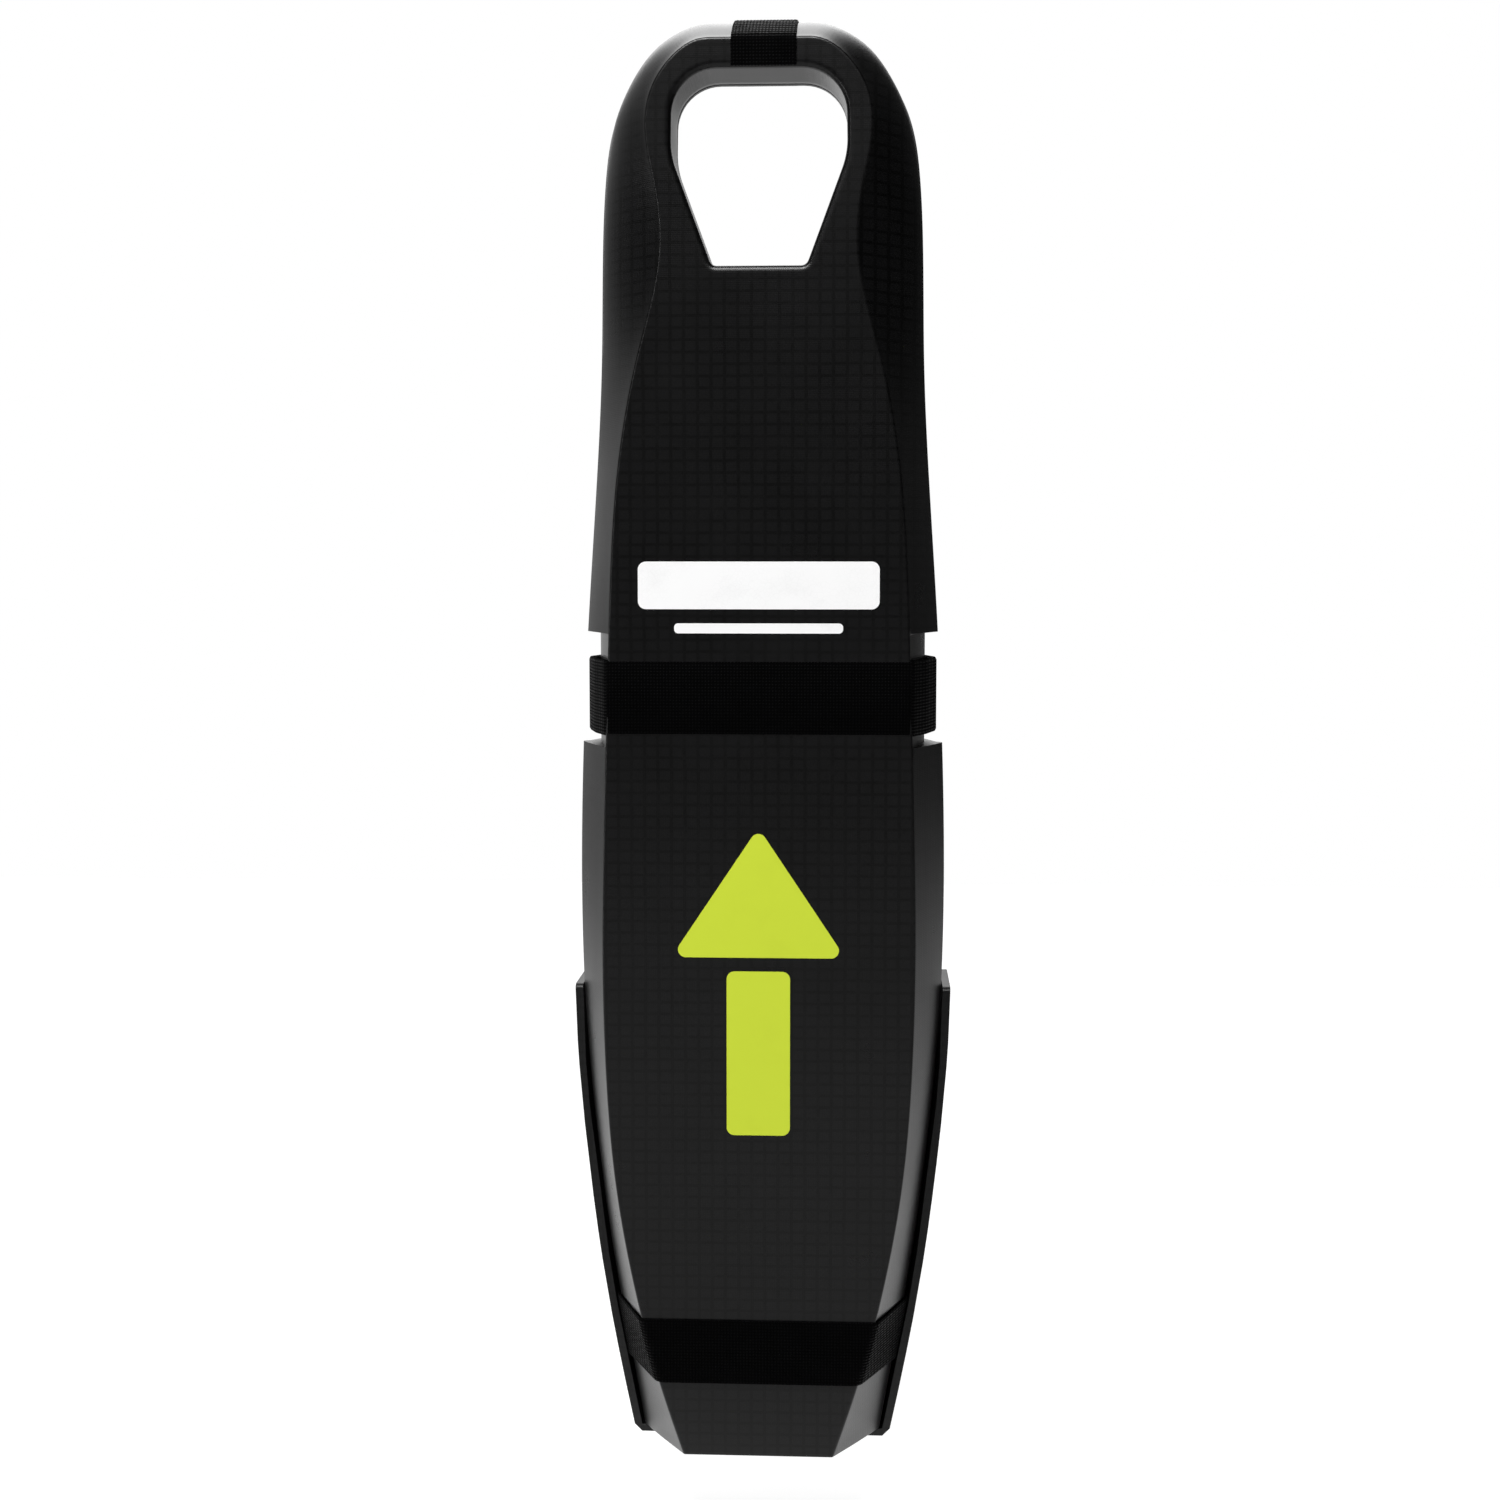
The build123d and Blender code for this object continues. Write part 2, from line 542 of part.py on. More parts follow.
PARTS = {
    "front_shell": front_shell, "rear_shell": rear_shell, "hinge_pin": hinge_pin,
    "handle_strap_front": lambda: handle_strap(True), "handle_strap_rear": lambda: handle_strap(False),
    "centre_belt_front": lambda: centre_belt(True), "centre_belt_rear": lambda: centre_belt(False),
    "centre_belt_patch": centre_belt_patch,
    "lower_belt_front": lambda: lower_belt(True), "lower_belt_rear": lambda: lower_belt(False),
    "reflective_label": reflective_label, "reflective_stripe": reflective_stripe,
    "lift_arrow": lift_arrow,
    "folded_mast": folded_mast, "folded_flag": folded_flag, "drogue_pack": drogue_pack,
    "ballast_weight": ballast_weight, "tether_hank": tether_hank, "pack_retainers": pack_retainers,
    "gas_cylinder": gas_cylinder, "cylinder_band": cylinder_band,
    "inflator_body": inflator_body, "inflator_cap": inflator_cap, "inflator_stem": inflator_stem,
    "stem_nut": stem_nut, "lever_pivot": lever_pivot, "inflator_lever": inflator_lever,
    "lever_knob": lever_knob, "piercing_pin": piercing_pin,
    "oral_tube": oral_tube, "oral_tube_cap": oral_tube_cap,
    "light_body": light_body, "light_lens": light_lens, "light_bracket": light_bracket,
    "holster_tray": holster_tray, "holster_pads": holster_pads,
    "clamp_saddle_lower": lambda: clamp_saddle(CLAMP_Z[0]),
    "clamp_saddle_upper": lambda: clamp_saddle(CLAMP_Z[1]),
    "clamp_cap_lower": lambda: clamp_cap(CLAMP_Z[0]), "clamp_cap_upper": lambda: clamp_cap(CLAMP_Z[1]),
    "clamp_liner_lower": lambda: clamp_liner(CLAMP_Z[0]),
    "clamp_liner_upper": lambda: clamp_liner(CLAMP_Z[1]),
    "clamp_bolts": lambda: at_bolts(clamp_bolt), "clamp_washers": lambda: at_bolts(clamp_washer),
    "clamp_nuts": lambda: at_bolts(clamp_nut),
}

os.makedirs("parts", exist_ok=True)
for part_name, make_part in PARTS.items():
    export(part_name, make_part())
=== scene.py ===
"""Looks of the man-overboard danbuoy: shells, webbing, packed fabric and studio light."""

import math

import bmesh
import bpy
import numpy as np
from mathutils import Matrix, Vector, geometry


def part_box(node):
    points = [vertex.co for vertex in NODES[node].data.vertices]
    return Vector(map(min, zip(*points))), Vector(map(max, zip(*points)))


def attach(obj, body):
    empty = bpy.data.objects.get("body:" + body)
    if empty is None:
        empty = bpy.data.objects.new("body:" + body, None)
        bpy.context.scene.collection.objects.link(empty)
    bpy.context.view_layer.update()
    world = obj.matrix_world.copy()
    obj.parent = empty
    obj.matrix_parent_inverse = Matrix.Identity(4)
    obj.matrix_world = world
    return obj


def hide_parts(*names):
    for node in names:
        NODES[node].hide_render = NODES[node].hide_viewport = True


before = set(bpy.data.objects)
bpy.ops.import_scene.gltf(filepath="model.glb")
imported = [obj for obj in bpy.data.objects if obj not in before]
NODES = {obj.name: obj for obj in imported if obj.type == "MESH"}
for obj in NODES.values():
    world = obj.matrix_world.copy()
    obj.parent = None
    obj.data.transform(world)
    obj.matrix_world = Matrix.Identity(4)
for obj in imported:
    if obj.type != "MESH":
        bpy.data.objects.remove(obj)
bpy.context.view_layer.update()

# The case's own frame, in millimetres: y = 0 on the parting plane, z = 0 at the bottom.
FRONT_DEPTH = 40.0
BACK_DEPTH = 46.0
RIM_DEPTH = 5.0
CLAMP_HEIGHT = 50.0
MM = 0.001
CASE_ORIGIN = Vector((0.0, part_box("reflective_label")[1].y + FRONT_DEPTH * MM,
                      (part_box("clamp_liner_lower")[0].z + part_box("clamp_liner_lower")[1].z) / 2
                      - CLAMP_HEIGHT * MM))

# Half outlines (half width, height) of the case, knot for knot.
PARTING = [(62.2, 0), (68.6, 36), (76.5, 80), (85.3, 144), (91.5, 208), (93.9, 261), (94.0, 320),
           (92.8, 365), (90.2, 421.5), (85.1, 500), (82.2, 560), (81.3, 616), (79.6, 650),
           (74.2, 680), (64.3, 700), (50.6, 716.4), (39.5, 722.8), (31.0, 725.6), (25.0, 726)]
FACE = [(38.0, 0), (50.0, 36), (61.6, 80), (73.0, 144), (77.7, 208), (78.7, 261), (77.8, 320),
        (76.6, 365), (74.8, 421.5), (70.2, 500), (59.4, 560), (48.6, 612), (50.6, 638),
        (55.6, 672), (53.2, 686), (45.0, 700), (36.0, 708.0), (30.0, 710.7), (25.0, 711.4)]
NOTCH_KNOTS = (7, 8)
NOTCH_X = 83.5
BODY_KNOTS = 10
BODY_TOP = [(79.3, 552), (70.0, 580), (46.0, 588)]
BACK_TOP = [(66.0, 520), (57.0, 541), (38.0, 548)]
BODY_INSET = 2.6
BACK_INSET = 13.0
WALL = 2.6
BOTTOM_WALL = 6.0
PARTING_GAP = 0.15
CORNER = 0.8                # rounding of the bottom corners
CORNER_POINTS = 6
HOLE_TOP = 697.0
HOLE_CORNERS = [(23.4, 602.4, 4), (43.3, 656.0, 40), (42.6, HOLE_TOP, 22)]
STRAP_X = 2.4               # the handle strap sits a little to the right
CENTRE_BELT_Z = (370.8, 408.8)
LOWER_BELT_Z = (38.4, 71.6)
WEBBING = 1.6               # thickness of the tapes
SELVEDGE = 0.9              # width of a tape's rounded edge
BELT_GAP = 0.2              # between the shells and the lower belt
BELT_END = 0.4              # from the parting plane to the ends of the belts' halves
SHELL_SPACING = 4.0         # distance between the points of a shell's outline
ROLL = 1.1                  # radius of the crease round the front face
HINGE_R = 3.0
FRONT_KNUCKLES = [(-30.0, -12.0), (12.0, 30.0)]
REAR_KNUCKLES = [(-40.0, -30.4), (-11.6, 11.6), (30.4, 40.0)]

FLAG_AXIS = (12, 534)       # depth and height of the rolled flag's axis
TETHER_Z = (369.0, 443.0)

# The folded mast's block, and the two places where elastic bands hold it.
MAST_LOW, MAST_HIGH = (-16.0, -26.0, 122.0), (60.0, 40.0, 500.0)
BANDS = ((200.0, 225.0), (420.0, 445.0))

# The camera: its place from the case's origin (m), its tilt down and turn left (degrees).
CAMERA_PLACE = (0.05286, -1.125, 0.4584)
CAMERA_TILT, CAMERA_TURN = 4.97, 3.01
CAMERA_LENS = 52.46

# Strength of the floor's glow as a light: in front of the object, under it, far behind it, and
# the share that is left on the right; then how bright the floor looks to the viewer.
FLOOR_FRONT, FLOOR_UNDER, FLOOR_FAR = 0.1, 0.98, 0.1
FLOOR_RIGHT = 0.55
FLOOR_SEEN = 0.86
FLOOR_HALF = 2.2            # half the floor's side (m)
FLOOR_DROP = 48.0           # from the closed case's bottom to the floor (mm)
# Strength of the surround as a light, next to 1 straight behind the object.
SURROUND_FRONT = 0.06
SURROUND_RIGHT = 0.04
SURROUND_LEFT = 0.37
SURROUND_BELOW = 0.36
SURROUND_ABOVE = 2.0        # added in a patch above and behind
WHITE = (1, 1, 1, 1)


# ---- outlines and rings ----
def grow_knots(points, amount):
    """Knots moved outward along their normals; the ends keep their height and half width."""
    moved = [(points[0][0] + amount, points[0][1])]
    for before, here, after in zip(points, points[1:], points[2:]):
        dx, dz = after[0] - before[0], after[1] - before[1]
        length = math.hypot(dx, dz)
        moved.append((here[0] + amount * dz / length, here[1] - amount * dx / length))
    return moved + [(points[-1][0], points[-1][1] + amount)]


def natural_cubic(knots):
    """Chord-length cubic through the knots, as a function of the knot number."""
    knots = np.array(knots, float)
    chord = np.hypot(*np.diff(knots, axis=0).T)
    matrix = np.eye(len(knots))
    right = np.zeros((len(knots), 2))
    slope = np.diff(knots, axis=0) / chord[:, None]
    for i in range(1, len(knots) - 1):
        matrix[i, i - 1:i + 2] = chord[i - 1], 2 * (chord[i - 1] + chord[i]), chord[i]
        right[i] = 6 * (slope[i] - slope[i - 1])
    bend = np.linalg.solve(matrix, right)

    def at(t):
        i = np.minimum(t.astype(int), len(knots) - 2)
        h = chord[i][:, None]
        u = (t - i)[:, None]
        a, b = 1 - u, u
        return (a * knots[i] + b * knots[i + 1]
                + h * h / 6 * ((a ** 3 - a) * bend[i] + (b ** 3 - b) * bend[i + 1]))
    return at


def knot_steps(knots, spacing, notch=NOTCH_KNOTS):
    """Knot numbers at about even spacing, doubled on each side of the notch's two edges."""
    steps = []
    for i, (a, b) in enumerate(zip(knots, knots[1:])):
        count = max(2, round(math.dist(a, b) / spacing))
        steps += list(i + np.arange(count) / count)
    steps.append(len(knots) - 1)
    edge = 0.004
    return np.array([v for s in steps for v in ((s - edge, s + edge) if s in notch else (s,))])


def half_points(knots, steps, grow=0.0):
    """Dense half outline, grown by a margin with a mitred bottom corner."""
    points = natural_cubic(knots)(steps)
    tangent = np.gradient(points, axis=0)
    tangent /= np.linalg.norm(tangent, axis=1)[:, None]
    normal = np.stack([tangent[:, 1], -tangent[:, 0]], axis=1)
    moved = points + grow * normal
    moved[0] = points[0] + grow * np.array([(1 + normal[0, 1]) / normal[0, 0], -1])
    moved[-1] = points[-1] + (0, grow)
    return moved, normal


def in_notch(steps):
    """Which steps lie between the notch's two edges."""
    return (steps > NOTCH_KNOTS[0]) & (steps < NOTCH_KNOTS[1])


def closed(half, y, notch=None, steps=None, floor=None):
    """Closed ring at depth y from a half outline, with rounded bottom corners and a notch."""
    half = half.copy()
    if notch is not None:
        inside = in_notch(steps)
        half[inside, 0] = np.minimum(half[inside, 0], notch)
    side = (half[1] - half[0]) / np.linalg.norm(half[1] - half[0])
    start, corner, end = half[0] + (-CORNER, 0), half[0], half[0] + side * CORNER
    u = np.linspace(0, 1, CORNER_POINTS)[:, None]
    arc = (1 - u) ** 2 * start + 2 * u * (1 - u) * corner + u * u * end
    half = np.vstack([arc, half[1:]])
    if floor is not None:
        half[:, 1] = np.maximum(half[:, 1], floor)
    depth = np.broadcast_to(np.asarray(y, float), (len(half),))
    right = np.column_stack([half[:, 0], depth, half[:, 1]])
    left = right[::-1] * (-1, 1, 1)
    return np.vstack([right, left])


def ring_values(values):
    """Values along a half outline, for the points of the closed ring's right and left halves."""
    half = np.concatenate([np.repeat(values[:1], CORNER_POINTS, axis=0), values[1:]])
    return half, half[::-1]


def hole_ring(margin, y):
    """The handle opening as a ring at depth y, wider by margin."""
    half = [np.array(c[:2]) for c in HOLE_CORNERS]
    corners = half + [p * (-1, 1) for p in reversed(half)]
    radii = [c[2] for c in HOLE_CORNERS] + [c[2] for c in reversed(HOLE_CORNERS)]
    points = []
    for i, (corner, radius) in enumerate(zip(corners, radii)):
        before, after = corners[i - 1] - corner, corners[(i + 1) % len(corners)] - corner
        before, after = before / np.linalg.norm(before), after / np.linalg.norm(after)
        half_angle = math.acos(np.clip(before @ after, -1, 1)) / 2
        inward = (before + after) / np.linalg.norm(before + after)
        centre = corner + inward * radius / math.sin(half_angle)
        first = corner + before * radius / math.tan(half_angle) - centre
        sweep = math.pi - 2 * half_angle
        for k in range(13):
            turn = sweep * k / 12
            c, s = math.cos(turn), math.sin(turn)
            out = np.array([c * first[0] - s * first[1], s * first[0] + c * first[1]]) / radius
            points.append(centre + out * (radius + margin))
    return np.array([(x, y, z) for x, z in points])


def slot_ring(x, z, width, height, y):
    """Rounded water slot as a ring at depth y."""
    radius = height / 2
    points = []
    for side in (1, -1):
        for k in range(9):
            turn = math.pi * (k / 8 - 0.5)
            points.append((x + side * (width / 2 - radius + radius * math.cos(turn)),
                           y, z + side * radius * math.sin(turn)))
    return np.array(points)


# ---- mesh building ----
def new_object(name, data):
    """Object in the scene that holds the data."""
    made = bpy.data.objects.new(name, data)
    bpy.context.scene.collection.objects.link(made)
    return made


def paint(piece, material):
    """Give a piece one material."""
    piece.data.materials.clear()
    piece.data.materials.append(material)


class Build:
    """Collects rings, strips and flat patches, and welds them into one object."""

    def __init__(self):
        self.points = []
        self.faces = []

    def add(self, ring):
        """Add a ring's points and return their numbers."""
        start = len(self.points)
        self.points += [tuple(p) for p in ring]
        return list(range(start, start + len(ring)))

    def strip(self, rings, capped=False):
        """Quads between neighbouring closed rings of equal size, with the ends closed if capped."""
        numbers = [self.add(ring) for ring in rings]
        for a, b in zip(numbers, numbers[1:]):
            for i in range(len(a)):
                j = (i + 1) % len(a)
                self.faces.append((a[i], a[j], b[j], b[i]))
        if capped:
            self.faces += [tuple(numbers[0][::-1]), tuple(numbers[-1])]

    def patch(self, outer, holes=()):
        """Flat face in an X-Z plane with holes in it."""
        loops = [[Vector((p[0], p[2], 0)) for p in ring] for ring in (outer, *holes)]
        numbers = [n for ring in (outer, *holes) for n in self.add(ring)]
        for tri in geometry.tessellate_polygon(loops):
            a, b, c = (numbers[i] for i in tri)
            pa, pb, pc = (np.array(self.points[i]) for i in (a, b, c))
            towards_front = np.cross(pb - pa, pc - pa)[1] < 0
            self.faces.append((a, b, c) if towards_front else (a, c, b))

    def finish(self, name, material, body, slot, replaced, sharp=32):
        """Weld and hand over the object, riding on its body."""
        mesh = bpy.data.meshes.new(name)
        points = [CASE_ORIGIN + Vector(p) * MM for p in self.points]
        mesh.from_pydata(points, [], self.faces)
        piece = new_object(name, mesh)
        shape = bmesh.new()
        shape.from_mesh(mesh)
        bmesh.ops.remove_doubles(shape, verts=shape.verts, dist=1e-5)
        bmesh.ops.recalc_face_normals(shape, faces=shape.faces)
        shape.to_mesh(mesh)
        shape.free()
        return hand_over(piece, material, body, replaced, sharp)


def hand_over(piece, material, body, replaced, sharp=32):
    """Shade a piece, give it its material, hang it on its body and hide the CAD parts it stands in for.
    """
    piece.data.polygons.foreach_set("use_smooth", [True] * len(piece.data.polygons))
    piece.data.set_sharp_from_angle(angle=math.radians(sharp))
    paint(piece, material)
    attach(piece, body)
    if replaced:
        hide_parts(*replaced)
    return piece


# ---- materials ----
class Nodes:
    """Small helper for building a node material, or a world."""

    def __init__(self, name, world=False):
        self.owner = (bpy.data.worlds if world else bpy.data.materials).new(name)
        self.owner.use_nodes = True
        self.tree = self.owner.node_tree
        self.shader = self.tree.nodes["Background" if world else "Principled BSDF"]

    def make(self, kind, inputs=None, **settings):
        node = self.tree.nodes.new(kind)
        for key, value in settings.items():
            setattr(node, key, value)
        for key, value in (inputs or {}).items():
            self.put(node, key, value)
        return node

    def put(self, node, key, value):
        if isinstance(value, bpy.types.NodeSocket):
            self.tree.links.new(value, node.inputs[key])
        else:
            node.inputs[key].default_value = value

    def coords(self, scale=(1, 1, 1)):
        source = self.make("ShaderNodeTexCoord")
        mapping = self.make("ShaderNodeMapping", {"Vector": source.outputs["Object"], "Scale": scale})
        return mapping.outputs["Vector"]

    def noise(self, scale, detail=4.0, vector=None, roughness=0.55):
        inputs = {"Scale": scale, "Detail": detail, "Roughness": roughness}
        inputs["Vector"] = vector or self.coords()
        return self.make("ShaderNodeTexNoise", inputs).outputs["Fac"]

    def wave(self, scale, axis, distortion=0.0):
        inputs = {"Scale": scale, "Distortion": distortion, "Detail": 1.0, "Vector": self.coords()}
        return self.make("ShaderNodeTexWave", inputs, bands_direction=axis).outputs["Fac"]

    def bands(self, pitch, axis, distortion=0.0):
        """Waves along an axis, the pitch (m) apart."""
        return self.wave(math.pi / 10 / pitch, axis, distortion)

    def math(self, operation, a, b=0.0):
        return self.make("ShaderNodeMath", {0: a, 1: b}, operation=operation).outputs[0]

    def ramp(self, factor, low, high, start=0.0, end=1.0):
        node = self.make("ShaderNodeValToRGB", {"Fac": factor})
        node.color_ramp.elements[0].position = start
        node.color_ramp.elements[1].position = end
        node.color_ramp.elements[0].color = (*low, 1)
        node.color_ramp.elements[1].color = (*high, 1)
        return node.outputs["Color"]

    def span(self, value, low, high, start=0.0, end=1.0, **settings):
        """From low at start to high at end, and level outside them."""
        inputs = {"Value": value, "From Min": start, "From Max": end, "To Min": low, "To Max": high}
        return self.make("ShaderNodeMapRange", inputs, **settings).outputs[0]

    def bump(self, height, distance, strength=1.0, normal=None):
        inputs = {"Height": height, "Distance": distance, "Strength": strength}
        if normal:
            inputs["Normal"] = normal
        return self.make("ShaderNodeBump", inputs).outputs["Normal"]

    def set(self, **inputs):
        for key, value in inputs.items():
            self.put(self.shader, key.replace("_", " "), value)
        return self.owner


def weave(n, pitch):
    """Plain weave relief in all three directions, pitch in metres."""
    across = n.math("MULTIPLY", n.bands(pitch, "X"), n.bands(pitch, "Z"))
    return n.math("ADD", across, n.math("MULTIPLY", n.bands(pitch, "Y"), n.bands(pitch, "Z")))


def case_material(name, base=0.0042, roughness=0.28):
    """Matte black moulding with a fine woven grain, faint thicker threads and handling marks."""
    n = Nodes(name)
    fine = weave(n, 0.0009)
    threads = n.math("MAXIMUM", n.bands(0.0067, "X", 0.5), n.bands(0.0059, "Z", 0.5))
    lines = n.math("MULTIPLY", n.math("GREATER_THAN", threads, 0.86), n.noise(95, 3))
    patches = n.math("SUBTRACT", n.noise(9, 5), n.math("MULTIPLY", lines, 0.75))
    colour = n.ramp(patches, (base * 0.4,) * 3, (base * 1.25, base * 1.25, base * 1.3), 0.0, 0.62)
    bump = n.bump(fine, 0.00004, 0.5)
    bump = n.bump(n.noise(900, 2), 0.00003, 0.35, bump)
    rough = n.span(n.noise(26, 6), roughness - 0.04, roughness + 0.06)
    return n.set(Base_Color=colour, Roughness=rough, Normal=bump, Specular_IOR_Level=0.32)


def webbing_material(name, colour=(0.0006, 0.0006, 0.0007), pitch=0.0016, specular=0.035,
                     fade=(0.4, 1.8)):
    """Woven tape: fine yarn relief, slight fading and fluff."""
    n = Nodes(name)
    yarn = weave(n, pitch)
    wear = n.math("MULTIPLY", n.noise(60, 6), n.span(yarn, 0.6, 1.3))
    tint = n.ramp(wear, [c * fade[0] for c in colour], [c * fade[1] for c in colour], 0.25, 0.75)
    bump = n.bump(yarn, 0.0003, 0.9)
    rough = n.math("MULTIPLY", n.span(n.noise(300, 3), 0.85, 1.1), n.span(yarn, 0.95, 0.42))
    return n.set(Base_Color=tint, Roughness=rough, Normal=bump, Specular_IOR_Level=specular)


def fabric_material(name, colour, pitch=0.0007, roughness=0.55, sheen=0.2):
    """Coated ripstop nylon: weave, ripstop squares, creases and soft colour variation."""
    n = Nodes(name)
    fine = weave(n, pitch)
    rip = n.math("MAXIMUM", n.math("GREATER_THAN", n.wave(52, "X"), 0.93),
                 n.math("GREATER_THAN", n.wave(52, "Z"), 0.93))
    creases = n.noise(38, 8, roughness=0.7)
    light = [min(1, c * 1.12) for c in colour]
    tint = n.ramp(n.noise(14, 5), [c * 0.82 for c in colour], light, 0.3, 0.75)
    bump = n.bump(fine, 0.00008, 0.6)
    bump = n.bump(rip, 0.00012, 0.6, bump)
    bump = n.bump(creases, 0.0016, 0.8, bump)
    rough = n.span(creases, roughness - 0.1, roughness + 0.12)
    return n.set(Base_Color=tint, Roughness=rough, Normal=bump, Sheen_Weight=sheen, Sheen_Roughness=0.4)


def plastic_material(name, colour, roughness=0.4, grain=0.00003, marks=0.06):
    """Moulded plastic: fine spark grain, faint flow marks and scuffs."""
    n = Nodes(name)
    tint = n.ramp(n.noise(30, 6), [c * 0.88 for c in colour], [min(1, c * 1.1) for c in colour],
                  0.3, 0.8)
    bump = n.bump(n.noise(1500, 2), grain, 0.5)
    return n.set(Base_Color=tint, Roughness=n.span(n.noise(45, 7), roughness - marks, roughness + marks),
                 Normal=bump)


def metal_material(name, colour, roughness=0.28, axis="Z", brushed=0.000004):
    """Metal with a brushed or turned finish and dull patches."""
    n = Nodes(name)
    stretch = {"X": (900, 30, 30), "Y": (30, 900, 30), "Z": (30, 30, 900)}[axis]
    lines = n.noise(1.0, 3, n.coords(scale=stretch))
    tint = n.ramp(n.noise(60, 5), [c * 0.8 for c in colour], colour, 0.3, 0.7)
    return n.set(Base_Color=tint, Metallic=1.0,
                 Roughness=n.span(lines, roughness - 0.08, roughness + 0.12),
                 Normal=n.bump(lines, brushed, 0.6))


def film_material(name, colour, roughness=0.45, cells=0.0, painted_glow=0.0):
    """Sticker film: faint cell pattern of retro-reflective sheet, small ripples, dusty edges, and an
    optional painted glow: emission that brightens the film as if more strongly lit.
    """
    n = Nodes(name)
    cell = n.make("ShaderNodeTexVoronoi", {"Scale": 420.0, "Vector": n.coords()},
                  feature="DISTANCE_TO_EDGE")
    edge = n.math("LESS_THAN", cell.outputs["Distance"], 0.06)
    dust = n.noise(50, 6)
    low = [c * (0.96 - cells) for c in colour]
    tint = n.ramp(n.math("SUBTRACT", dust, n.math("MULTIPLY", edge, cells * 4)), low, colour, 0.1, 0.45)
    bump = n.bump(n.noise(120, 3), 0.00004, 0.5)
    # Painted glow: the film emits light of its own colour, standing in for light it reflects.
    if painted_glow:
        n.set(Emission_Strength=painted_glow, Emission_Color=(*colour, 1))
    return n.set(Base_Color=tint, Roughness=n.span(dust, roughness - 0.05, roughness + 0.1), Normal=bump)


def lens_material(name):
    """Clear polycarbonate with moulding ripples."""
    n = Nodes(name)
    bump = n.bump(n.noise(200, 3), 0.00005, 0.4)
    return n.set(Base_Color=(0.93, 0.97, 1.0, 1), Roughness=n.span(n.noise(90, 4), 0.03, 0.12),
                 Transmission_Weight=0.85, IOR=1.58, Normal=bump)


SHELL = case_material("case_shell_black")
TAPE = webbing_material("black_webbing")
PILE = webbing_material("hook_and_loop_pile", (0.006, 0.006, 0.007), 0.0016)
ELASTIC = webbing_material("black_elastic", (0.008, 0.008, 0.009), 0.0009)
STRAPPING = webbing_material("cylinder_strap", (0.012, 0.012, 0.014), 0.0012)
TETHER = webbing_material("white_webbing", (0.62, 0.61, 0.57), 0.001, fade=(0.84, 1.06))
THREAD = plastic_material("polyester_thread", (0.02, 0.02, 0.021), 0.6)
BLADDER = fabric_material("yellow_bladder_cloth", (0.74, 0.62, 0.012))
FLAG = fabric_material("orange_flag_cloth", (0.83, 0.14, 0.008), 0.0005, 0.6, 0.35)
DROGUE = fabric_material("orange_drogue_cloth", (0.66, 0.11, 0.012), 0.0009, 0.6, 0.25)
# The white label film gets a painted glow of 0.08 on top of its colour.
FILM = film_material("white_reflective_film", (0.92, 0.92, 0.92), cells=0.03, painted_glow=0.08)
HI_VIS = film_material("hi_vis_film", (0.64, 0.77, 0.034), 0.5)
TRAY = case_material("holster_black", 0.0045, 0.42)
CLAMP = plastic_material("clamp_nylon", (0.01, 0.01, 0.011), 0.42)
INFLATOR = plastic_material("inflator_black", (0.016, 0.016, 0.018), 0.36)
CAP = plastic_material("cap_yellow", (0.72, 0.5, 0.01), 0.38)
LEVER = plastic_material("lever_red", (0.52, 0.012, 0.01), 0.33)
LAMP = plastic_material("light_white", (0.74, 0.74, 0.72), 0.35)
RUBBER = plastic_material("black_rubber", (0.009, 0.009, 0.009), 0.72, 0.00006, 0.08)
TUBE = plastic_material("grey_tube_rubber", (0.05, 0.05, 0.055), 0.6)
FOAM = plastic_material("closed_cell_foam", (0.012, 0.012, 0.013), 0.85, 0.00025, 0.05)
COATED = plastic_material("coated_lead", (0.03, 0.032, 0.036), 0.5, 0.00015)
LENS = lens_material("clear_lens")
STEEL = metal_material("stainless", (0.62, 0.62, 0.63))
PLATED = metal_material("plated_steel", (0.56, 0.57, 0.58), 0.24)
BRASS = metal_material("brass", (0.68, 0.47, 0.17), 0.26, "X")


# ---- the two shells ----
def bezier(a, control, b, count):
    """Rings along a rounded edge between two rings, with the sharp edge's ring as control."""
    return [(1 - u) ** 2 * a + 2 * u * (1 - u) * control + u * u * b for u in np.linspace(0, 1, count)]


def bulge_of(steps):
    """How far the side face swells: hardly on the body, well rounded round the handle."""
    rise = np.clip((steps - 9.2) / 2.2, 0, 1)
    flatter = np.clip((steps - 14.0) / 3.0, 0, 1)
    return 0.35 + (3.4 - 0.9 * flatter) * rise * rise * (3 - 2 * rise)


def swell(u):
    """Share of the side's bulge at the fraction u of the way from the crease to the rim."""
    return 4 * u ** 1.25 * (1 - u ** 1.25)


def section(knots, steps, y, grow=0.0, **ring):
    """Closed ring at depth y from a half outline's knots, grown by a margin."""
    return closed(half_points(knots, steps, grow)[0], y, steps=steps, **ring)


def unit_rows(vectors):
    """Each row scaled to unit length."""
    return vectors / np.linalg.norm(vectors, axis=1)[:, None]


